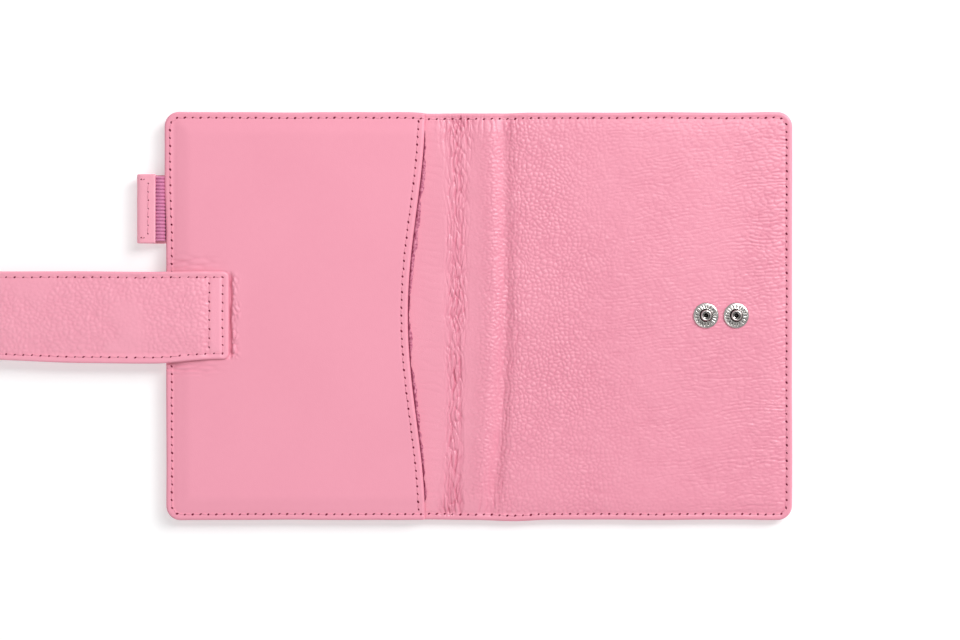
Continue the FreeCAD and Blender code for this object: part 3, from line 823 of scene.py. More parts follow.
def leather(name, light, deep, pebble_size, stretch, bump_height, rough, crease_strength):
    """Leather between two tones, with painted shade in the grain's creases and in the folds. Pebble size and
    bump height are in millimetres.
    """
    material, tree, shader = new_material(name)
    place = rest_place(tree)
    grain = place_group(tree, GRAIN, Vector=place, Pebble_Size=pebble_size, Stretch=stretch)
    # folded is the darker colour painted into the folds as shade
    folded = tuple(c * f for c, f in zip(deep, (0.78, 0.52, 0.62)))
    tone = place_group(tree, TONE, Vector=place, Light=(*light, 1), Deep=(*deep, 1), Folded=(*folded, 1),
                       Crease=grain.outputs["Crease"], Crease_Strength=crease_strength,
                       Fold=painted_shade(tree))
    roughness = remap(tree, tone.outputs["Patch"], 0.3, 0.7, rough[0], rough[1])
    feed(tree, shader, Base_Color=tone.outputs["Color"], Roughness=roughness)
    raise_surface(tree, shader, grain.outputs["Height"], bump_height)
    return material


def thread_material():
    material, tree, shader = new_material("sewing_thread")
    place = rest_place(tree)
    twist = node(tree, "ShaderNodeTexWave", {"bands_direction": "DIAGONAL"},
                 Vector=place, Scale=2.4, Distortion=1.0)
    colour = mix_colour(tree, twist.outputs["Fac"], (0.8, 0.27, 0.38, 1), (0.93, 0.4, 0.5, 1))
    feed(tree, shader, Base_Color=colour, Roughness=0.6)
    raise_surface(tree, shader, twist.outputs["Fac"], 0.05, 0.6)
    return material


def hole_material():
    material, tree, shader = new_material("needle_hole_shadow")
    place = rest_place(tree)
    blotches = place_group(tree, BLOTCH, Vector=place, Blotch_Scale=1.3, Detail=2.0,
                           Deep=(0.12, 0.01, 0.028, 1), Light=(0.26, 0.032, 0.066, 1))
    feed(tree, shader, Base_Color=blotches.outputs["Color"], Roughness=0.9, Specular_IOR_Level=0.0)
    return material


def suede_material():
    """The napped raw edge inside the pocket's mouth: its own nap colour, darkened next to the lip with
    painted shadow.
    """
    material, tree, shader = new_material("raw_suede_edge")
    place = rest_place(tree)
    nap = place_group(tree, BLOTCH, Vector=place, Blotch_Scale=1.1, Detail=6.0, Low=0.38, High=0.62,
                      Deep=(0.4, 0.09, 0.17, 1), Light=(0.86, 0.33, 0.45, 1))
    # painted shadow: the nap goes to near black next to the lip
    colour = mix_colour(tree, painted_shade(tree), nap.outputs["Color"], (0.2, 0.025, 0.06, 1))
    feed(tree, shader, Base_Color=colour, Roughness=0.95, Specular_IOR_Level=0.1)
    raise_surface(tree, shader, nap.outputs["Blotch"], 0.3)
    return material


def elastic_material():
    material, tree, shader = new_material("ribbed_elastic_weave")
    place = rest_place(tree)
    split = node(tree, "ShaderNodeSeparateXYZ", Vector=place)
    yarn = math_node(tree, "SINE", math_node(tree, "MULTIPLY", split.outputs[0], 14.0))
    pick = math_node(tree, "SINE", math_node(tree, "MULTIPLY", split.outputs[1], 20.0))
    weave = math_node(tree, "MULTIPLY", yarn, pick)
    fuzz = node(tree, "ShaderNodeTexNoise", Vector=place, Scale=4.0, Detail=3.0)
    share = remap(tree, math_node(tree, "ADD", weave, fuzz.outputs["Fac"]), -0.6, 1.6)
    woven = mix_colour(tree, share, (0.6, 0.16, 0.33, 1), (0.83, 0.3, 0.52, 1))
    # painted shade: the elastic is darker between its ribs
    colour = mix_colour(tree, painted_shade(tree), woven, (0.42, 0.09, 0.21, 1))
    feed(tree, shader, Base_Color=colour, Roughness=0.7, Sheen_Weight=0.3)
    raise_surface(tree, shader, share, 0.08, 0.8)
    return material


def metal(name, bright, dull, rough, place_of=rest_place):
    """Plated metal with faint polishing marks, a little tarnish and painted shade in its hollows."""
    material, tree, shader = new_material(name)
    plate = place_group(tree, PLATE, Vector=place_of(tree), Bright=(*bright, 1), Dull=(*dull, 1),
                        Recess=painted_shade(tree), Smoothest=rough[0], Roughest=rough[1])
    feed(tree, shader, Base_Color=plate.outputs["Color"], Roughness=plate.outputs["Roughness"], Metallic=1.0)
    raise_surface(tree, shader, plate.outputs["Marks"], 0.02, 0.3)
    return material


def board_material():
    material, tree, shader = new_material("grey_board_fibre")
    fibres = place_group(tree, BLOTCH, Vector=object_place(tree), Blotch_Scale=1.2, Low=0.0, High=1.0,
                         Deep=(0.3, 0.25, 0.2, 1), Light=(0.55, 0.48, 0.4, 1))
    feed(tree, shader, Base_Color=fibres.outputs["Color"], Roughness=0.9)
    raise_surface(tree, shader, fibres.outputs["Blotch"], 0.08, 0.5)
    return material


def dress(piece, material):
    piece.data.materials.clear()
    piece.data.materials.append(material)


GRAIN = make_grain_group()
TONE = make_tone_group()
BLOTCH = make_blotch_group()
PLATE = make_plate_group()
PEBBLED = leather("pebbled_leather", (0.905, 0.349, 0.454), (0.83, 0.289, 0.392),
                  0.5, 1.2, 0.02, (0.25, 0.36), 0.08)
SMOOTHER = leather("pocket_leather", (0.91, 0.347, 0.456), (0.85, 0.305, 0.41),
                   0.5, 1.2, 0.012, (0.42, 0.55), 0.05)
STRAP_SKIN = leather("strap_leather_grain", (0.955, 0.39, 0.5), (0.89, 0.325, 0.435),
                     0.5, 1.2, 0.02, (0.3, 0.42), 0.08)
# painted light: the pen tab has the strap's leather painted a little lighter, to make up for the shade it
# lies in
TAB_SKIN_PAINTED_LIGHTER = leather("pen_tab_leather_painted_lighter", (0.99, 0.425, 0.53), (0.93, 0.36, 0.47),
                   0.5, 1.2, 0.02, (0.35, 0.5), 0.08)
LINING_SKIN = leather("lining_grain", (0.83, 0.33, 0.42), (0.66, 0.2, 0.3),
                      0.5, 1.0, 0.03, (0.55, 0.7), 0.15)
INNER_SKIN = leather("inner_pocket_leather", (0.88, 0.35, 0.45), (0.72, 0.22, 0.33),
                     0.8, 1.1, 0.04, (0.42, 0.6), 0.2)
THREAD = thread_material()
NEEDLE_HOLE_SHADOW = hole_material()
ELASTIC = elastic_material()
SUEDE = suede_material()
NICKEL = metal("nickel_plate", (0.86, 0.82, 0.79), (0.6, 0.56, 0.53), (0.16, 0.32))
NICKEL_CAD = metal("nickel_plate_inner", (0.7, 0.67, 0.63), (0.5, 0.47, 0.43), (0.2, 0.36), object_place)
SPRING_STEEL = metal("spring_wire_steel", (0.5, 0.5, 0.5), (0.35, 0.35, 0.36), (0.25, 0.4), object_place)
BOARD = board_material()


# ---------------------------------------------------------------- the cover


def blend_crease(piece):
    """Bakes a piece's placement into its mesh."""
    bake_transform(piece)


def half_cover_edges(side, radius):
    """The edge a half cover is cut along, its free edges, and the radii of its corners."""
    if side < 0:
        return ("right",), ("left", "low", "high"), (radius, 0)
    return ("left",), ("right", "low", "high"), (0, radius)


def cover_skin(side):
    """The outer leather of one half: a cover with its half of the spine."""
    ys = grid_lines(-HALF, HALF, [(HALF, 0.31)])
    cuts, free, corners = half_cover_edges(side, CORNER)
    if side < 0:
        name, replaced = "cover_leather_back", ("outer_leather_back", "outer_leather_spine")
        xs = grid_lines(-EDGE, 0.0, [(-30.0, 3.0), (-15.5, 0.6), (-2.0, 0.2), (0.0, 0.25)], True, False)
    else:
        name, replaced = "cover_leather_front", ("outer_leather_front",)
        xs = grid_lines(0.0, EDGE, [(17.0, 0.22), (EDGE, 0.3)], False, True)

    def under(x, y):
        return np.maximum(cover_form(x, y) - SKIN - 0.8, LINING_TOP + 0.02)

    # painted shade: the deeper a point lies in the wrinkles and grain, the darker its colour
    skin = leather_sheet(name, xs, ys, cover_height, under, free, corners, (1.0, 0.5), settled, cuts,
                         lambda x, y: -cover_relief(x, y) / 0.55)
    dress(skin, PEBBLED)
    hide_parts(*replaced)
    blend_crease(skin)


def lining_height(x, y):
    creased = 0.06 * sharp_net(x, y, 2.2, 9.0, 0.2, 102) * bump(x, 0.0, 12.0)
    return LINING_UNDER + 0.05 * noise(x, y, 12.0, 101) + creased


def lining_skin(side):
    """The lining of one half, cut in the middle of the spine like the outer leather."""
    inset = EDGE - lining_high[0]
    ys = grid_lines(-HALF + inset, HALF - inset, [(HALF, 1.0)])
    cuts, free, corners = half_cover_edges(side, CORNER - inset)
    if side < 0:
        name, replaced = "lining_leather_back", ("lining_back", "lining_spine")
        xs = grid_lines(inset - EDGE, 0.0, [(-16.0, 3.0), (0.0, 0.5)], True, False)
    else:
        name, replaced = "lining_leather_front", ("lining_front",)
        xs = grid_lines(0.0, EDGE - inset, [(16.0, 0.5), (EDGE, 3.0)], False, True)
    skin = leather_sheet(name, xs, ys, LINING_TOP - 0.05, lining_height, free, corners, (0.2, 0.2), settled,
                         cuts)
    dress(skin, LINING_SKIN)
    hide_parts(*replaced)
    blend_crease(skin)


def slip_pocket():
    """The slip pocket on the back cover. Its grid is straight and is drawn out to the curved mouth."""
    mouth_reference = MOUTH_END_X - MOUTH_DEPTH

    def place(x, y):
        follow = smooth(-80.0, -32.0, x)
        return settled(x + (mouth_x(y) - mouth_reference) * follow, y)

    xs = grid_lines(-EDGE, mouth_reference, [(-86.8, 0.8), (-78.0, 0.3), (-32.0, 0.9), (0.0, 0.4)])
    ys = grid_lines(-HALF, HALF, [(-24.0, 0.9), (24.0, 0.35), (HALF, 0.9)])
    # painted shade: the trench along the strap's sewn end and the folds beside the strap are darkened
    pocket = leather_sheet("slip_pocket", xs, ys, pocket_height,
                           lambda x, y: pocket_height(x, y) - POCKET_THICK, ALL_SIDES, (CORNER, 0.8),
                           (0.9, 0.3), place, depth=lambda x, y: -0.9 * beside_strap(x, y))
    dress(pocket, SMOOTHER)
    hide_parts("back_pocket_panel", "back_pocket_hem")
    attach(pocket, "back_cover")


def pocket_raw_edge():
    """The ragged suede edge of the layer below the pocket's lip, darkened with painted shadow next to the
    lip.
    """
    end = HALF - 3.6

    def lip_place(x, y):
        ragged = 0.4 * drift(y, 8.0, 97) + 0.25 * drift(y, 1.8, 98) + 0.14 * drift(y, 0.8, 99)
        from_end = HALF - np.abs(y)
        shows = smooth(3.6, 12.0, from_end) * (0.95 + 1.3 * ragged + 0.4 * bump(y, 46.0, 14.0))
        return mouth_x(y) - 1.2 + x * (0.9 + shows + 0.3 * smooth(3.6, 8.0, from_end)), y

    def lip_height(x, y):
        past = x - mouth_x(y)
        lifted = 5.95 - 0.75 * smooth(-1.2, 1.5, past)
        return np.maximum(lifted, cover_form(x, y) + 0.12) + 0.1 * noise(x, y, 0.9, 100)

    def lip_under(x, y):
        return lip_height(x, y) - 0.35 + 0.1 * smooth(-1.0, 1.5, x - mouth_x(y))

    # painted shadow: 1 next to the lip, fading to 0 about a millimetre away
    def lip_shade(x, y):
        return 1 - smooth(0.15, 0.9, x - mouth_x(y) + 0.3 * noise(x, y, 0.9, 104))

    raw = leather_sheet("pocket_mouth_raw_edge", np.linspace(0.0, 1.0, 11), np.arange(-end, end + 0.1, 0.3),
                        lip_height, lip_under, (), (0, 0), (0, 0), lip_place, depth=lip_shade)
    dress(raw, SUEDE)
    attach(raw, "back_cover")


def outside_height(x, y):
    """The highest leather under a stitch on the outside."""
    on_pocket = x < mouth_x(y) - 0.3
    return np.where(on_pocket, pocket_height(x, y), cover_height(x, y))


def cover_stitches():
    for side, name in ((-1, "back_rim"), (1, "front_rim")):
        line = stitch_line(rim_path(side), outside_height, seed=200 + side)
        sew(name, [line], lambda piece: blend_crease(piece))
    ys = np.linspace(HALF - STITCH_INSET, STITCH_INSET - HALF, 80)
    mouth = np.column_stack([mouth_x(ys) - MOUTH_STITCH, ys])
    line = stitch_line(mouth, pocket_height, seed=210)
    sew("pocket_mouth", [line], lambda piece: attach(piece, "back_cover"))


# ---------------------------------------------------------------- the pockets inside

def pinched_under(low, pinch, inset_from):
    """An underside that is drawn up towards the cover along the sewn rim."""
    def height(x, y):
        inset = rim_inset(x, y)
        wave = 0.06 * noise(x, y, 24.0, 111)
        return low + pinch * (1 - smooth(inset_from, 8.0, inset)) + wave * smooth(1.0, 6.0, inset)
    return height


def inner_panel(name, node_name, hem_name, side, pinch, body):
    """A sleeve inside one cover, sewn along three sides. Gives back the height of its underside."""
    low, high = box_mm(node_name)
    inner = min(abs(low[0]), abs(high[0]))
    outer = max(abs(low[0]), abs(high[0]))
    thick = high[2] - low[2]
    under = pinched_under(low[2], pinch, 1.0)
    if side < 0:
        xs = grid_lines(-outer, -inner, [(0.0, 1.5)])
        corners = (CORNER - 0.6, 0.8)
    else:
        xs = grid_lines(inner, outer, [(EDGE, 1.5)])
        corners = (0.8, CORNER - 0.6)
    ys = grid_lines(low[1], high[1], [(HALF, 1.5)])
    panel = leather_sheet(name, xs, ys, lambda x, y: under(x, y) + thick, under, ALL_SIDES, corners,
                          (min(0.15, thick / 3), min(0.3, thick / 2)), settled)
    dress(panel, INNER_SKIN)
    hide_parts(node_name, hem_name)
    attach(panel, body)
    return under


def flat_pocket(name, node_name, extra, body, seed):
    """A small pocket on a sleeve, sewn down both sides and along the bottom, with a stitched mouth."""
    low, high = box_mm(node_name)
    thick = high[2] - low[2]

    def under(x, y):
        edge = np.minimum(np.minimum(x - low[0], high[0] - x), y - low[1])
        return low[2] + 0.1 + 0.1 * (1 - smooth(0.0, 3.0, edge)) + 0.04 * noise(x, y, 18.0, seed)

    xs = grid_lines(low[0], high[0], [(EDGE, 1.5)])
    ys = grid_lines(low[1], high[1], [(HALF, 1.5)])
    panel = leather_sheet(name, xs, ys, lambda x, y: under(x, y) + thick - 0.12, under, ALL_SIDES,
                          (1.2, 1.2), (thick / 4, thick / 3))
    dress(panel, INNER_SKIN)
    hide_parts(node_name, *extra)
    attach(panel, body)
    seam = 1.8
    left, right, bottom = low[0] + seam, high[0] - seam, low[1] + seam
    sides = [(left, high[1] - 1.2), (left, bottom), (right, bottom), (right, high[1] - 1.2)]
    mouth = [(left + 2.0, high[1] - seam), (right - 2.0, high[1] - seam)]
    lines = [stitch_line(path, under, sink=-0.08, up=-1.0, seed=seed + k)
             for k, path in enumerate((sides, mouth))]
    sew(name, lines, lambda piece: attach(piece, body))


def inside_pockets():
    """Both sleeves, the pockets on them, and the stitching round the cover as it shows inside."""
    sleeve_under = inner_panel("passport_sleeve_leather", "passport_sleeve", "passport_sleeve_hem",
                               -1, 0.55, "back_cover")
    card_under = inner_panel("card_sleeve_leather", "card_sleeve", "card_sleeve_hem", 1, 0.4, "front_cover")
    flat_pocket("quick_pocket_leather", "quick_pocket", ("quick_pocket_hem",), "back_cover", 121)
    for k in (1, 2, 3):
        flat_pocket("card_slot_%d_leather" % k, "card_slot_%d" % k, (), "front_cover", 130 + 3 * k)

    def inside_height(sleeve, inner):
        def height(x, y):
            return np.where(np.abs(x) > inner, sleeve(x, y), lining_height(x, y))
        return height

    for side, sleeve, inner, name in ((-1, sleeve_under, -sleeve_high[0], "inside_back_rim"),
                                      (1, card_under, card_low[0], "inside_front_rim")):
        height = inside_height(sleeve, inner)
        line = stitch_line(rim_path(side), height, up=-1.0, seed=140 + side)
        sew(name, [line], lambda piece: blend_crease(piece))


# ---------------------------------------------------------------- the strap

def strap_inset(x, y):
    """How far a point is inside the strap's outline."""
    dx = np.minimum(STRAP_SEWN_END - x, x - STRAP_TIP)
    dy = STRAP_HALF - np.abs(y)
    radius = np.where(x < (STRAP_TIP + STRAP_SEWN_END) / 2, STRAP_TIP_RADIUS, 2.0)
    corner = (dx < radius) & (dy < radius)
    return np.where(corner, radius - np.hypot(radius - dx, radius - dy), np.minimum(dx, dy))


def strap_settled(x, y):
    """The strap's long edges are a little uneven, and the lower one bellies out past the cover's edge."""
    past_cover = smooth(-170.0, -135.0, x) * (1 - smooth(-112.0, -90.0, x))
    belly = 1.2 * past_cover * smooth(2.0, STRAP_HALF, -y)
    wander = 0.18 * drift(x, 23.0, 151) * np.abs(y) / STRAP_HALF
    return x, y - belly + wander


def strap_relief(x, y):
    """Grain of the strap's leather: strong pebbles, with quiet patches between them."""
    inset = strap_inset(x, y)
    quiet = 0.3 + 0.7 * smooth(-0.35, 0.25, noise(x, y, 17.0, 165) + 0.3 * noise(x, y, 6.0, 166))
    grain = net(x + 0.3 * y, y - 0.2 * x, 1.9, 1.55, 164)
    small = 0.25 * (1 - noise(x, y, 2.6, 167))
    sewn = smooth(-98.0, -94.0, x)
    folds = net(x, y, 3.0, 1.8, 163) * sewn * 0.16
    shown = smooth(0.5, 2.4, inset) * (1 - smooth(-93.4, -92.2, x))
    return -(0.22 * quiet * (grain + small) + folds) * shown


def strap_height(x, y):
    """The outside of the strap. It is pressed down towards its sewn end, and raised over the snap's cap."""
    inset = strap_inset(x, y)
    crown = 0.3 * smooth(2.0, 9.0, inset)
    groove = -0.18 * bump(inset, STRAP_STITCH, 0.55)
    for line_x in BOX_STITCH_X:
        groove = groove - 0.16 * bump(x, line_x, 0.6) * smooth(1.2, 2.2, inset)
    pressed = -0.55 * smooth(-96.5, -91.5, x) - 0.35 * smooth(-89.5, -86.5, x)
    swell = 0.17 * noise(x, y, 15.0, 161) + 0.05 * noise(x, y, 6.0, 162)
    cap = 0.12 * smooth(-CAP_RADIUS - 1.2, 0.6 - CAP_RADIUS, -np.hypot(x - SOCKET_X, y))
    form = STRAP_TOP - 0.25 + crown + groove + pressed + swell * smooth(0.0, 4.0, inset) + cap
    return form + strap_relief(x, y)


def strap_stitch_paths(name, low_x, high_x, up):
    """Where one length of the strap is sewn: up the edges, round the tip, and a box at the sewn end."""
    edge_y = STRAP_HALF - STRAP_STITCH
    if name == "tab":
        radius = STRAP_TIP_RADIUS - STRAP_STITCH
        angles = np.linspace(0, math.pi / 2, 8)
        middle = STRAP_TIP + STRAP_TIP_RADIUS
        flat_y = STRAP_HALF - STRAP_TIP_RADIUS
        turn = [(middle - radius * math.sin(a), flat_y + radius * math.cos(a)) for a in angles]
        paths = [[(high_x, edge_y)] + turn + [(x, -y) for x, y in reversed(turn)] + [(high_x, -edge_y)]]
    elif name == "middle":
        paths = [[(high_x, s * edge_y), (low_x, s * edge_y)] for s in (1, -1)]
    elif up > 0:
        end_x, inner_x = BOX_STITCH_X
        paths = [[(low_x, edge_y), (end_x, edge_y), (end_x, -edge_y), (low_x, -edge_y)],
                 [(inner_x, edge_y - 0.6), (inner_x, 0.6 - edge_y)]]
    else:
        paths = [[(low_x, s * edge_y), (LIFT_X, s * edge_y)] for s in (1, -1)]
    return [strap_path(path) for path in paths]


def strap_path(corners):
    """A stitch path through the given corners, moved to where the strap's uneven edges put it."""
    runs = zip(np.array(corners[:-1]), np.array(corners[1:]))
    dense = np.vstack([np.linspace(a, b, 20) for a, b in runs])
    keep = np.concatenate([[True], np.linalg.norm(np.diff(dense, axis=0), axis=1) > 1e-6])
    return np.column_stack(strap_settled(dense[keep, 0], dense[keep, 1]))


def strap_leather_under(x, y):
    pressed = 0.5 * smooth(*STRAP_LANDS, x)
    return STRAP_UNDER + (strap_lining_high[2] - strap_lining_low[2]) - pressed + 0 * y


def strap_lining_under(x, y):
    lowered = smooth(*STRAP_LANDS, x)
    return STRAP_UNDER - 0.3 * lowered + 0.05 * noise(x, y, 9.0, 171) * (1 - lowered)


def strap_length(name, low_x, high_x, cuts, nodes):
    """One length of the strap: its leather, its lining and the stitches on both faces."""
    grid_step = 0.32
    free = [s for s in ALL_SIDES if s not in cuts]
    corners = (STRAP_TIP_RADIUS if name == "tab" else 0, 2.0 if name == "sewn" else 0)
    xs = grid_lines(low_x, high_x, [(0.0, grid_step)], "left" not in cuts, "right" not in cuts)
    ys = grid_lines(-STRAP_HALF, STRAP_HALF, [(STRAP_HALF, grid_step)])

    def bend(piece):
        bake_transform(piece)

    # painted shade: the strap's grain and folds are darkened as deep as they go
    skin = leather_sheet("strap_leather_" + name, xs, ys, strap_height, strap_leather_under, free, corners,
                         (0.75, 0.15), strap_settled, cuts, lambda x, y: -strap_relief(x, y) / 0.9)
    dress(skin, STRAP_SKIN)
    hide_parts(*[pattern % "leather" for pattern in nodes])
    bend(skin)
    narrower = 0.985
    lining = leather_sheet("strap_lining_" + name, xs, ys * narrower,
                           lambda x, y: strap_leather_under(x, y) - 0.02, strap_lining_under, free, corners,
                           (0.1, 0.2), strap_settled, cuts)
    dress(lining, LINING_SKIN)
    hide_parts(*[pattern % "lining" for pattern in nodes])
    bend(lining)
    lines = []
    for height, up in ((strap_height, 1.0), (strap_lining_under, -1.0)):
        for k, path in enumerate(strap_stitch_paths(name, low_x, high_x, up)):
            lines.append(stitch_line(path, height, up=up, seed=180 + 5 * k, hole=0.88, pitch=STRAP_PITCH))
    sew("strap_" + name, lines, bend)


def strap_pieces():
    """The strap in three lengths that meet half way between its bends."""
    cut_1 = (LIFT_X + EDGE_FOLD_X) / 2
    cut_2 = (EDGE_FOLD_X + TAB_FOLD_X) / 2
    strap_length("sewn", cut_1, STRAP_SEWN_END,
                 ("left",), ("strap_anchor_%s", "strap_%s_root"))
    strap_length("middle", cut_2, cut_1,
                 ("left", "right"), ("strap_%s_bridge",))
    strap_length("tab", STRAP_TIP, cut_2,
                 ("right",), ("strap_%s_tab",))


# ---------------------------------------------------------------- the snaps

def pressed_bars(radius, height, angle):
    """How deep the ring of plain bars is pressed into a stud's flange: 1 in a bar, 0 beside it."""
    band = smooth(2.4, 2.6, radius) * (1 - smooth(3.5, 3.7, radius))
    bars = smooth(0.15, 0.6, np.cos(angle * 19 + 1.1 * np.sin(angle * 3)))
    face = smooth(0.3, 0.5, height) * (1 - smooth(0.85, 0.95, height))
    return band * bars * face


def snap_studs():
    """The two studs: a domed flange with pressed bars, a neck, and a hollow ball with a rolled top."""
    flange = [(0, 0.0), (4.25, 0.0), (4.38, 0.08), (4.4, 0.2), (4.36, 0.34), (4.25, 0.46), (4.05, 0.55),
              (3.85, 0.6)]
    flange += [(r, 0.6 + 0.1 * (3.85 - r)) for r in np.arange(3.78, 2.3, -0.07)]
    neck = [(2.28, 0.74), (2.15, 0.66), (2.02, 0.52), (1.85, 0.45), (1.66, 0.46), (1.56, 0.56), (1.5, 0.8),
            (1.5, 1.4)]
    ball = [(1.55, 1.55), (1.7, 1.68), (1.82, 1.82), (1.85, 1.98), (1.82, 2.15), (1.74, 2.27), (1.62, 2.35),
            (1.5, 2.38), (1.38, 2.36), (1.28, 2.28), (1.22, 2.1), (1.2, 1.8), (1.17, 1.2), (0.9, 0.9),
            (0.62, 0.86), (0.6, 0.5), (0, 0.45)]

    # painted shade: near black in the ball's bore, dark in the gap round the neck, and darker in the pressed
    # bars
    def shade(radius, height, angle):
        bore = (1 - smooth(1.2, 1.3, radius)) * smooth(0.2, 0.3, height)
        neck_gap = smooth(1.45, 1.5, radius) * (1 - smooth(2.1, 2.3, radius)) * (1 - smooth(1.3, 1.7, height))
        hollow = np.maximum(0.97 * bore, 0.85 * neck_gap)
        return np.maximum(hollow, 0.7 * pressed_bars(radius, height, angle + turn))

    for name, turn in (("inner", 0.3), ("outer", 1.4)):
        low, high = box_mm("snap_stud_" + name)
        centre = ((low[0] + high[0]) / 2, 0.0, low[2])

        def dent(radius, height, angle):
            uneven = 0.06 * np.sin(angle * 2 + turn) * smooth(1.9, 4.0, radius) * smooth(0.3, 0.5, height)
            return uneven - 0.12 * pressed_bars(radius, height, angle + turn)

        stud = lathe("snap_stud_" + name + "_plated", flange + neck + ball, centre, 240, dent, shade)
        dress(stud, NICKEL)
        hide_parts("snap_stud_" + name)
        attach(stud, "front_cover")


def stud_rivets():
    """A hollow rivet from behind the leather that is rolled open inside each stud."""
    profile = [(0, 3.24), (3.9, 3.24), (4.0, 3.34), (4.0, 3.7), (3.9, 3.78), (1.3, 3.78), (1.12, 3.95),
               (1.1, 6.2), (1.14, 6.42), (1.08, 6.56), (0.96, 6.6), (0.84, 6.54), (0.78, 6.4), (0.76, 6.0),
               (0.74, 4.6), (0, 4.5)]

    # painted shade: near black inside the rivet's hollow stem
    def shade(radius, height, angle):
        return 0.97 * smooth(-0.82, -0.76, -radius) * smooth(3.9, 4.1, height)

    for name in ("inner", "outer"):
        low, high = box_mm("stud_rivet_" + name)
        centre = ((low[0] + high[0]) / 2, 0.0, 0.0)
        rivet = lathe("stud_rivet_" + name + "_plated", profile, centre, 72, None, shade)
        dress(rivet, NICKEL)
        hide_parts("stud_rivet_" + name)
        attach(rivet, "front_cover")


def snap_socket():
    """The socket under the strap's tab, with a groove in its bore for the spring."""
    profile = [(0, -0.3), (2.0, -0.3), (2.0, -1.35), (2.55, -1.4), (2.55, -1.85), (2.0, -1.9), (2.02, -2.05),
               (2.2, -2.1), (2.9, -2.1), (3.05, -2.06), (3.15, -1.95), (3.3, -1.6), (3.5, -1.35),
               (3.85, -1.15), (4.05, -1.0), (4.1, -0.8), (4.1, -0.25), (4.04, -0.1), (3.9, 0.0), (0, 0.0)]
    socket = lathe("snap_socket_plated", profile, (SOCKET_X, 0.0, STRAP_UNDER), 96)
    dress(socket, NICKEL)
    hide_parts("snap_socket")
    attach(socket, "strap_tab")


# ---------------------------------------------------------------- the pen loop

RIB_PITCH = 1.2
LOOP_MIDDLE = (loop_low[1] + loop_high[1]) / 2
LOOP_SEAM = elastic_high[0]
LOOP_FAR = LOOP_SEAM - 5.1
LOOP_FOLD = loop_low[0]


def blend_seam(piece):
    """Bakes the placement of a piece of the pen loop into its mesh."""
    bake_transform(piece)


def pen_loop_strip():
    """The leather strip, which runs out under the elastic and turns back. Gives back the line it follows."""
    line = eased([(-EDGE + 1.6, 2.7), (-EDGE, 2.6), (LOOP_SEAM - 0.2, 1.5), (LOOP_SEAM - 1.2, 0.55),
                  (LOOP_SEAM - 3.4, 0.5), (LOOP_FAR + 0.4, 1.1), (LOOP_FAR - 0.7, 2.4),
                  (LOOP_FAR - 2.0, 2.75), (LOOP_FOLD + 1.0, 2.75), (LOOP_FOLD + 0.45, 3.1),
                  (LOOP_FOLD + 0.4, 4.7), (LOOP_FOLD + 0.8, 5.6), (LOOP_FOLD + 1.9, 6.0),
                  (LOOP_FAR - 0.9, 6.2), (LOOP_FAR + 0.2, 6.3), (LOOP_FAR + 1.0, 6.36), (-111.4, 6.38)], 6)
    half = (loop_high[1] - loop_low[1]) / 2
    rounded = half - np.array([0.0, 0.08, 0.2, 0.4])
    ys = LOOP_MIDDLE + np.concatenate([-rounded, np.linspace(-half + 0.7, half - 0.7, 44), rounded[::-1]])
    tab = ribbon("pen_loop_strip", line, 0.8, ys, lambda at, y: 0.03 * noise(at * 18.0, y, 2.0, 191))
    dress(tab, TAB_SKIN_PAINTED_LIGHTER)
    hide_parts("pen_loop_leather")
    blend_seam(tab)

    return line


def pen_loop_stitches(line):
    """Three rows that sew the strip's upper end down as a tab."""
    half = (loop_high[1] - loop_low[1]) / 2
    upper = line[line[:, 1] > 3.9]

    def tab_height(x, y):
        return np.interp(x, upper[:, 0], upper[:, 1]) + 0.4

    across_x = LOOP_FAR - 0.6
    low_y, high_y = LOOP_MIDDLE - half + 1.8, LOOP_MIDDLE + half - 1.8
    paths = [[(across_x, high_y), (across_x, low_y)]]
    paths += [[(LOOP_FOLD + 1.2, y), (across_x - 1.0, y)] for y in (high_y, low_y)]
    lines = [stitch_line(path, tab_height, seed=195 + k, hole=0.66) for k, path in enumerate(paths)]
    sew("pen_loop_tab", lines, lambda piece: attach(piece, "pen_loop"))


def pen_loop_band():
    """The ribbed elastic that arches over the pen."""
    arch = eased([(-EDGE + 1.6, 3.4), (-EDGE, 3.45), (LOOP_SEAM - 0.1, 4.2), (LOOP_SEAM - 0.6, 5.2),
                  (LOOP_SEAM - 1.7, 5.8), (LOOP_SEAM - 2.9, 5.6), (LOOP_SEAM - 3.9, 5.1),
                  (LOOP_FAR + 0.2, 4.5), (LOOP_FAR - 0.6, 3.65), (LOOP_FAR - 1.8, 3.5),
                  (LOOP_FOLD + 1.3, 3.5)], 9)
    half = (elastic_high[1] - elastic_low[1]) / 2
    ys = LOOP_MIDDLE + np.linspace(-half, half, 190)

    def ribs(at, y):
        across = smooth(0.0, 0.12, at) * smooth(1.0, 0.8, at)
        return 0.13 * across * np.cos((y - LOOP_MIDDLE) * 2 * math.pi / RIB_PITCH)

    # painted shade between the ribs: 1 in each groove, 0 on each rib
    def between_ribs(at, y):
        return smooth(0.1, 0.9, -np.cos((y - LOOP_MIDDLE) * 2 * math.pi / RIB_PITCH)) + 0 * at

    band = ribbon("pen_loop_elastic_band", arch, 0.58, ys, ribs, between_ribs)
    dress(band, ELASTIC)
    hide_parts("pen_loop_elastic")
    blend_seam(band)


# ---------------------------------------------------------------- pieces that stay as the frame has them

def inner_nodes():
    for name in ("board_back", "board_front"):
        dress(frame["nodes"][name], BOARD)
    dress(frame["nodes"]["snap_cap"], NICKEL_CAD)
    dress(frame["nodes"]["snap_spring"], SPRING_STEEL)


# ---------------------------------------------------------------- the room

FLOOR_Z = -0.0003


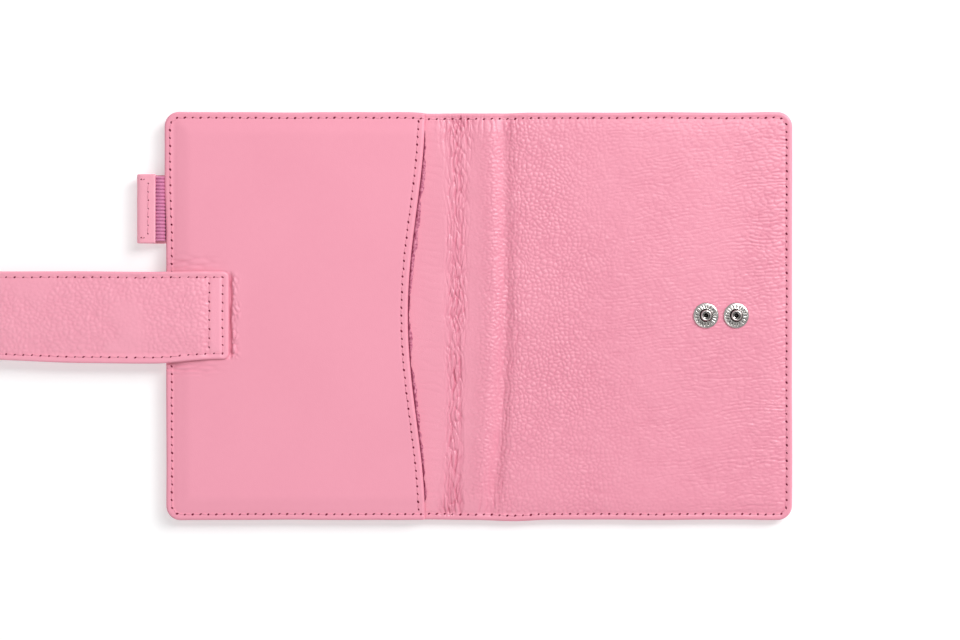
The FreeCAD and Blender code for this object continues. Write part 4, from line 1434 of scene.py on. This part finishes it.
def floor():
    size = 3.0
    mesh = bpy.data.meshes.new("table_top")
    corners = [(-size, -size, FLOOR_Z), (size, -size, FLOOR_Z), (size, size, FLOOR_Z), (-size, size, FLOOR_Z)]
    mesh.from_pydata(corners, [], [(0, 1, 2, 3)])
    plane = bpy.data.objects.new("table_top", mesh)
    bpy.context.scene.collection.objects.link(plane)
    material, tree, shader = new_material("white_table")
    feed(tree, shader, Base_Color=(0.72, 0.72, 0.72, 1), Roughness=0.8, Specular_IOR_Level=0.1,
         Emission_Color=(1, 1, 1, 1), Emission_Strength=0.37)
    dress(plane, material)


def area_light(name, place, size, power):
    """A round soft light that points at the object."""
    data = bpy.data.lights.new(name, "AREA")
    data.shape = "DISK"
    data.size = size
    data.energy = power
    light = bpy.data.objects.new(name, data)
    bpy.context.scene.collection.objects.link(light)
    light.location = place
    light.rotation_euler = (-Vector(place)).to_track_quat("-Z", "Y").to_euler()


def studio_world():
    """A white room with a darker ceiling straight above, where the camera hangs."""
    world = bpy.data.worlds.new("studio")
    world.use_nodes = True
    tree = world.node_tree
    way = node(tree, "ShaderNodeTexCoord")
    split = node(tree, "ShaderNodeSeparateXYZ", Vector=way.outputs["Generated"])
    overhead = remap(tree, split.outputs[2], 0.55, 0.97)
    colour = mix_colour(tree, overhead, (0.6, 0.6, 0.61, 1), (0.42, 0.42, 0.42, 1))
    feed(tree, tree.nodes["Background"], Color=colour, Strength=0.67)
    bpy.context.scene.world = world


def room():
    floor()
    area_light("key_light", (0.8, 0.68, 1.0), 0.75, 14.0)
    area_light("glint_light", (0.3, 0.5, 1.15), 0.3, 2.6)
    area_light("fill_light", (-0.5, -0.55, 1.25), 1.2, 3.4)
    studio_world()
    bpy.context.scene.view_settings.view_transform = "Standard"


VIEW_WIDTH = 0.3302
VIEW_CENTRE_Y = -0.00155


def camera():
    """Hangs straight above the middle of the open holder."""
    data = bpy.data.cameras.new("overhead_camera")
    data.lens = 85.0
    data.sensor_width = 36.0
    data.clip_start, data.clip_end = 0.01, 20.0
    eye = bpy.data.objects.new("overhead_camera", data)
    bpy.context.scene.collection.objects.link(eye)
    distance = VIEW_WIDTH * data.lens / data.sensor_width
    eye.location = (0.0, VIEW_CENTRE_Y, TOP * MM + distance)
    bpy.context.scene.camera = eye


def main():
    cover_skin(-1)
    cover_skin(1)
    lining_skin(-1)
    lining_skin(1)
    slip_pocket()
    pocket_raw_edge()
    cover_stitches()
    inside_pockets()
    strap_pieces()
    snap_studs()
    stud_rivets()
    snap_socket()
    strip_line = pen_loop_strip()
    pen_loop_band()
    pen_loop_stitches(strip_line)
    inner_nodes()
    room()
    camera()


main()
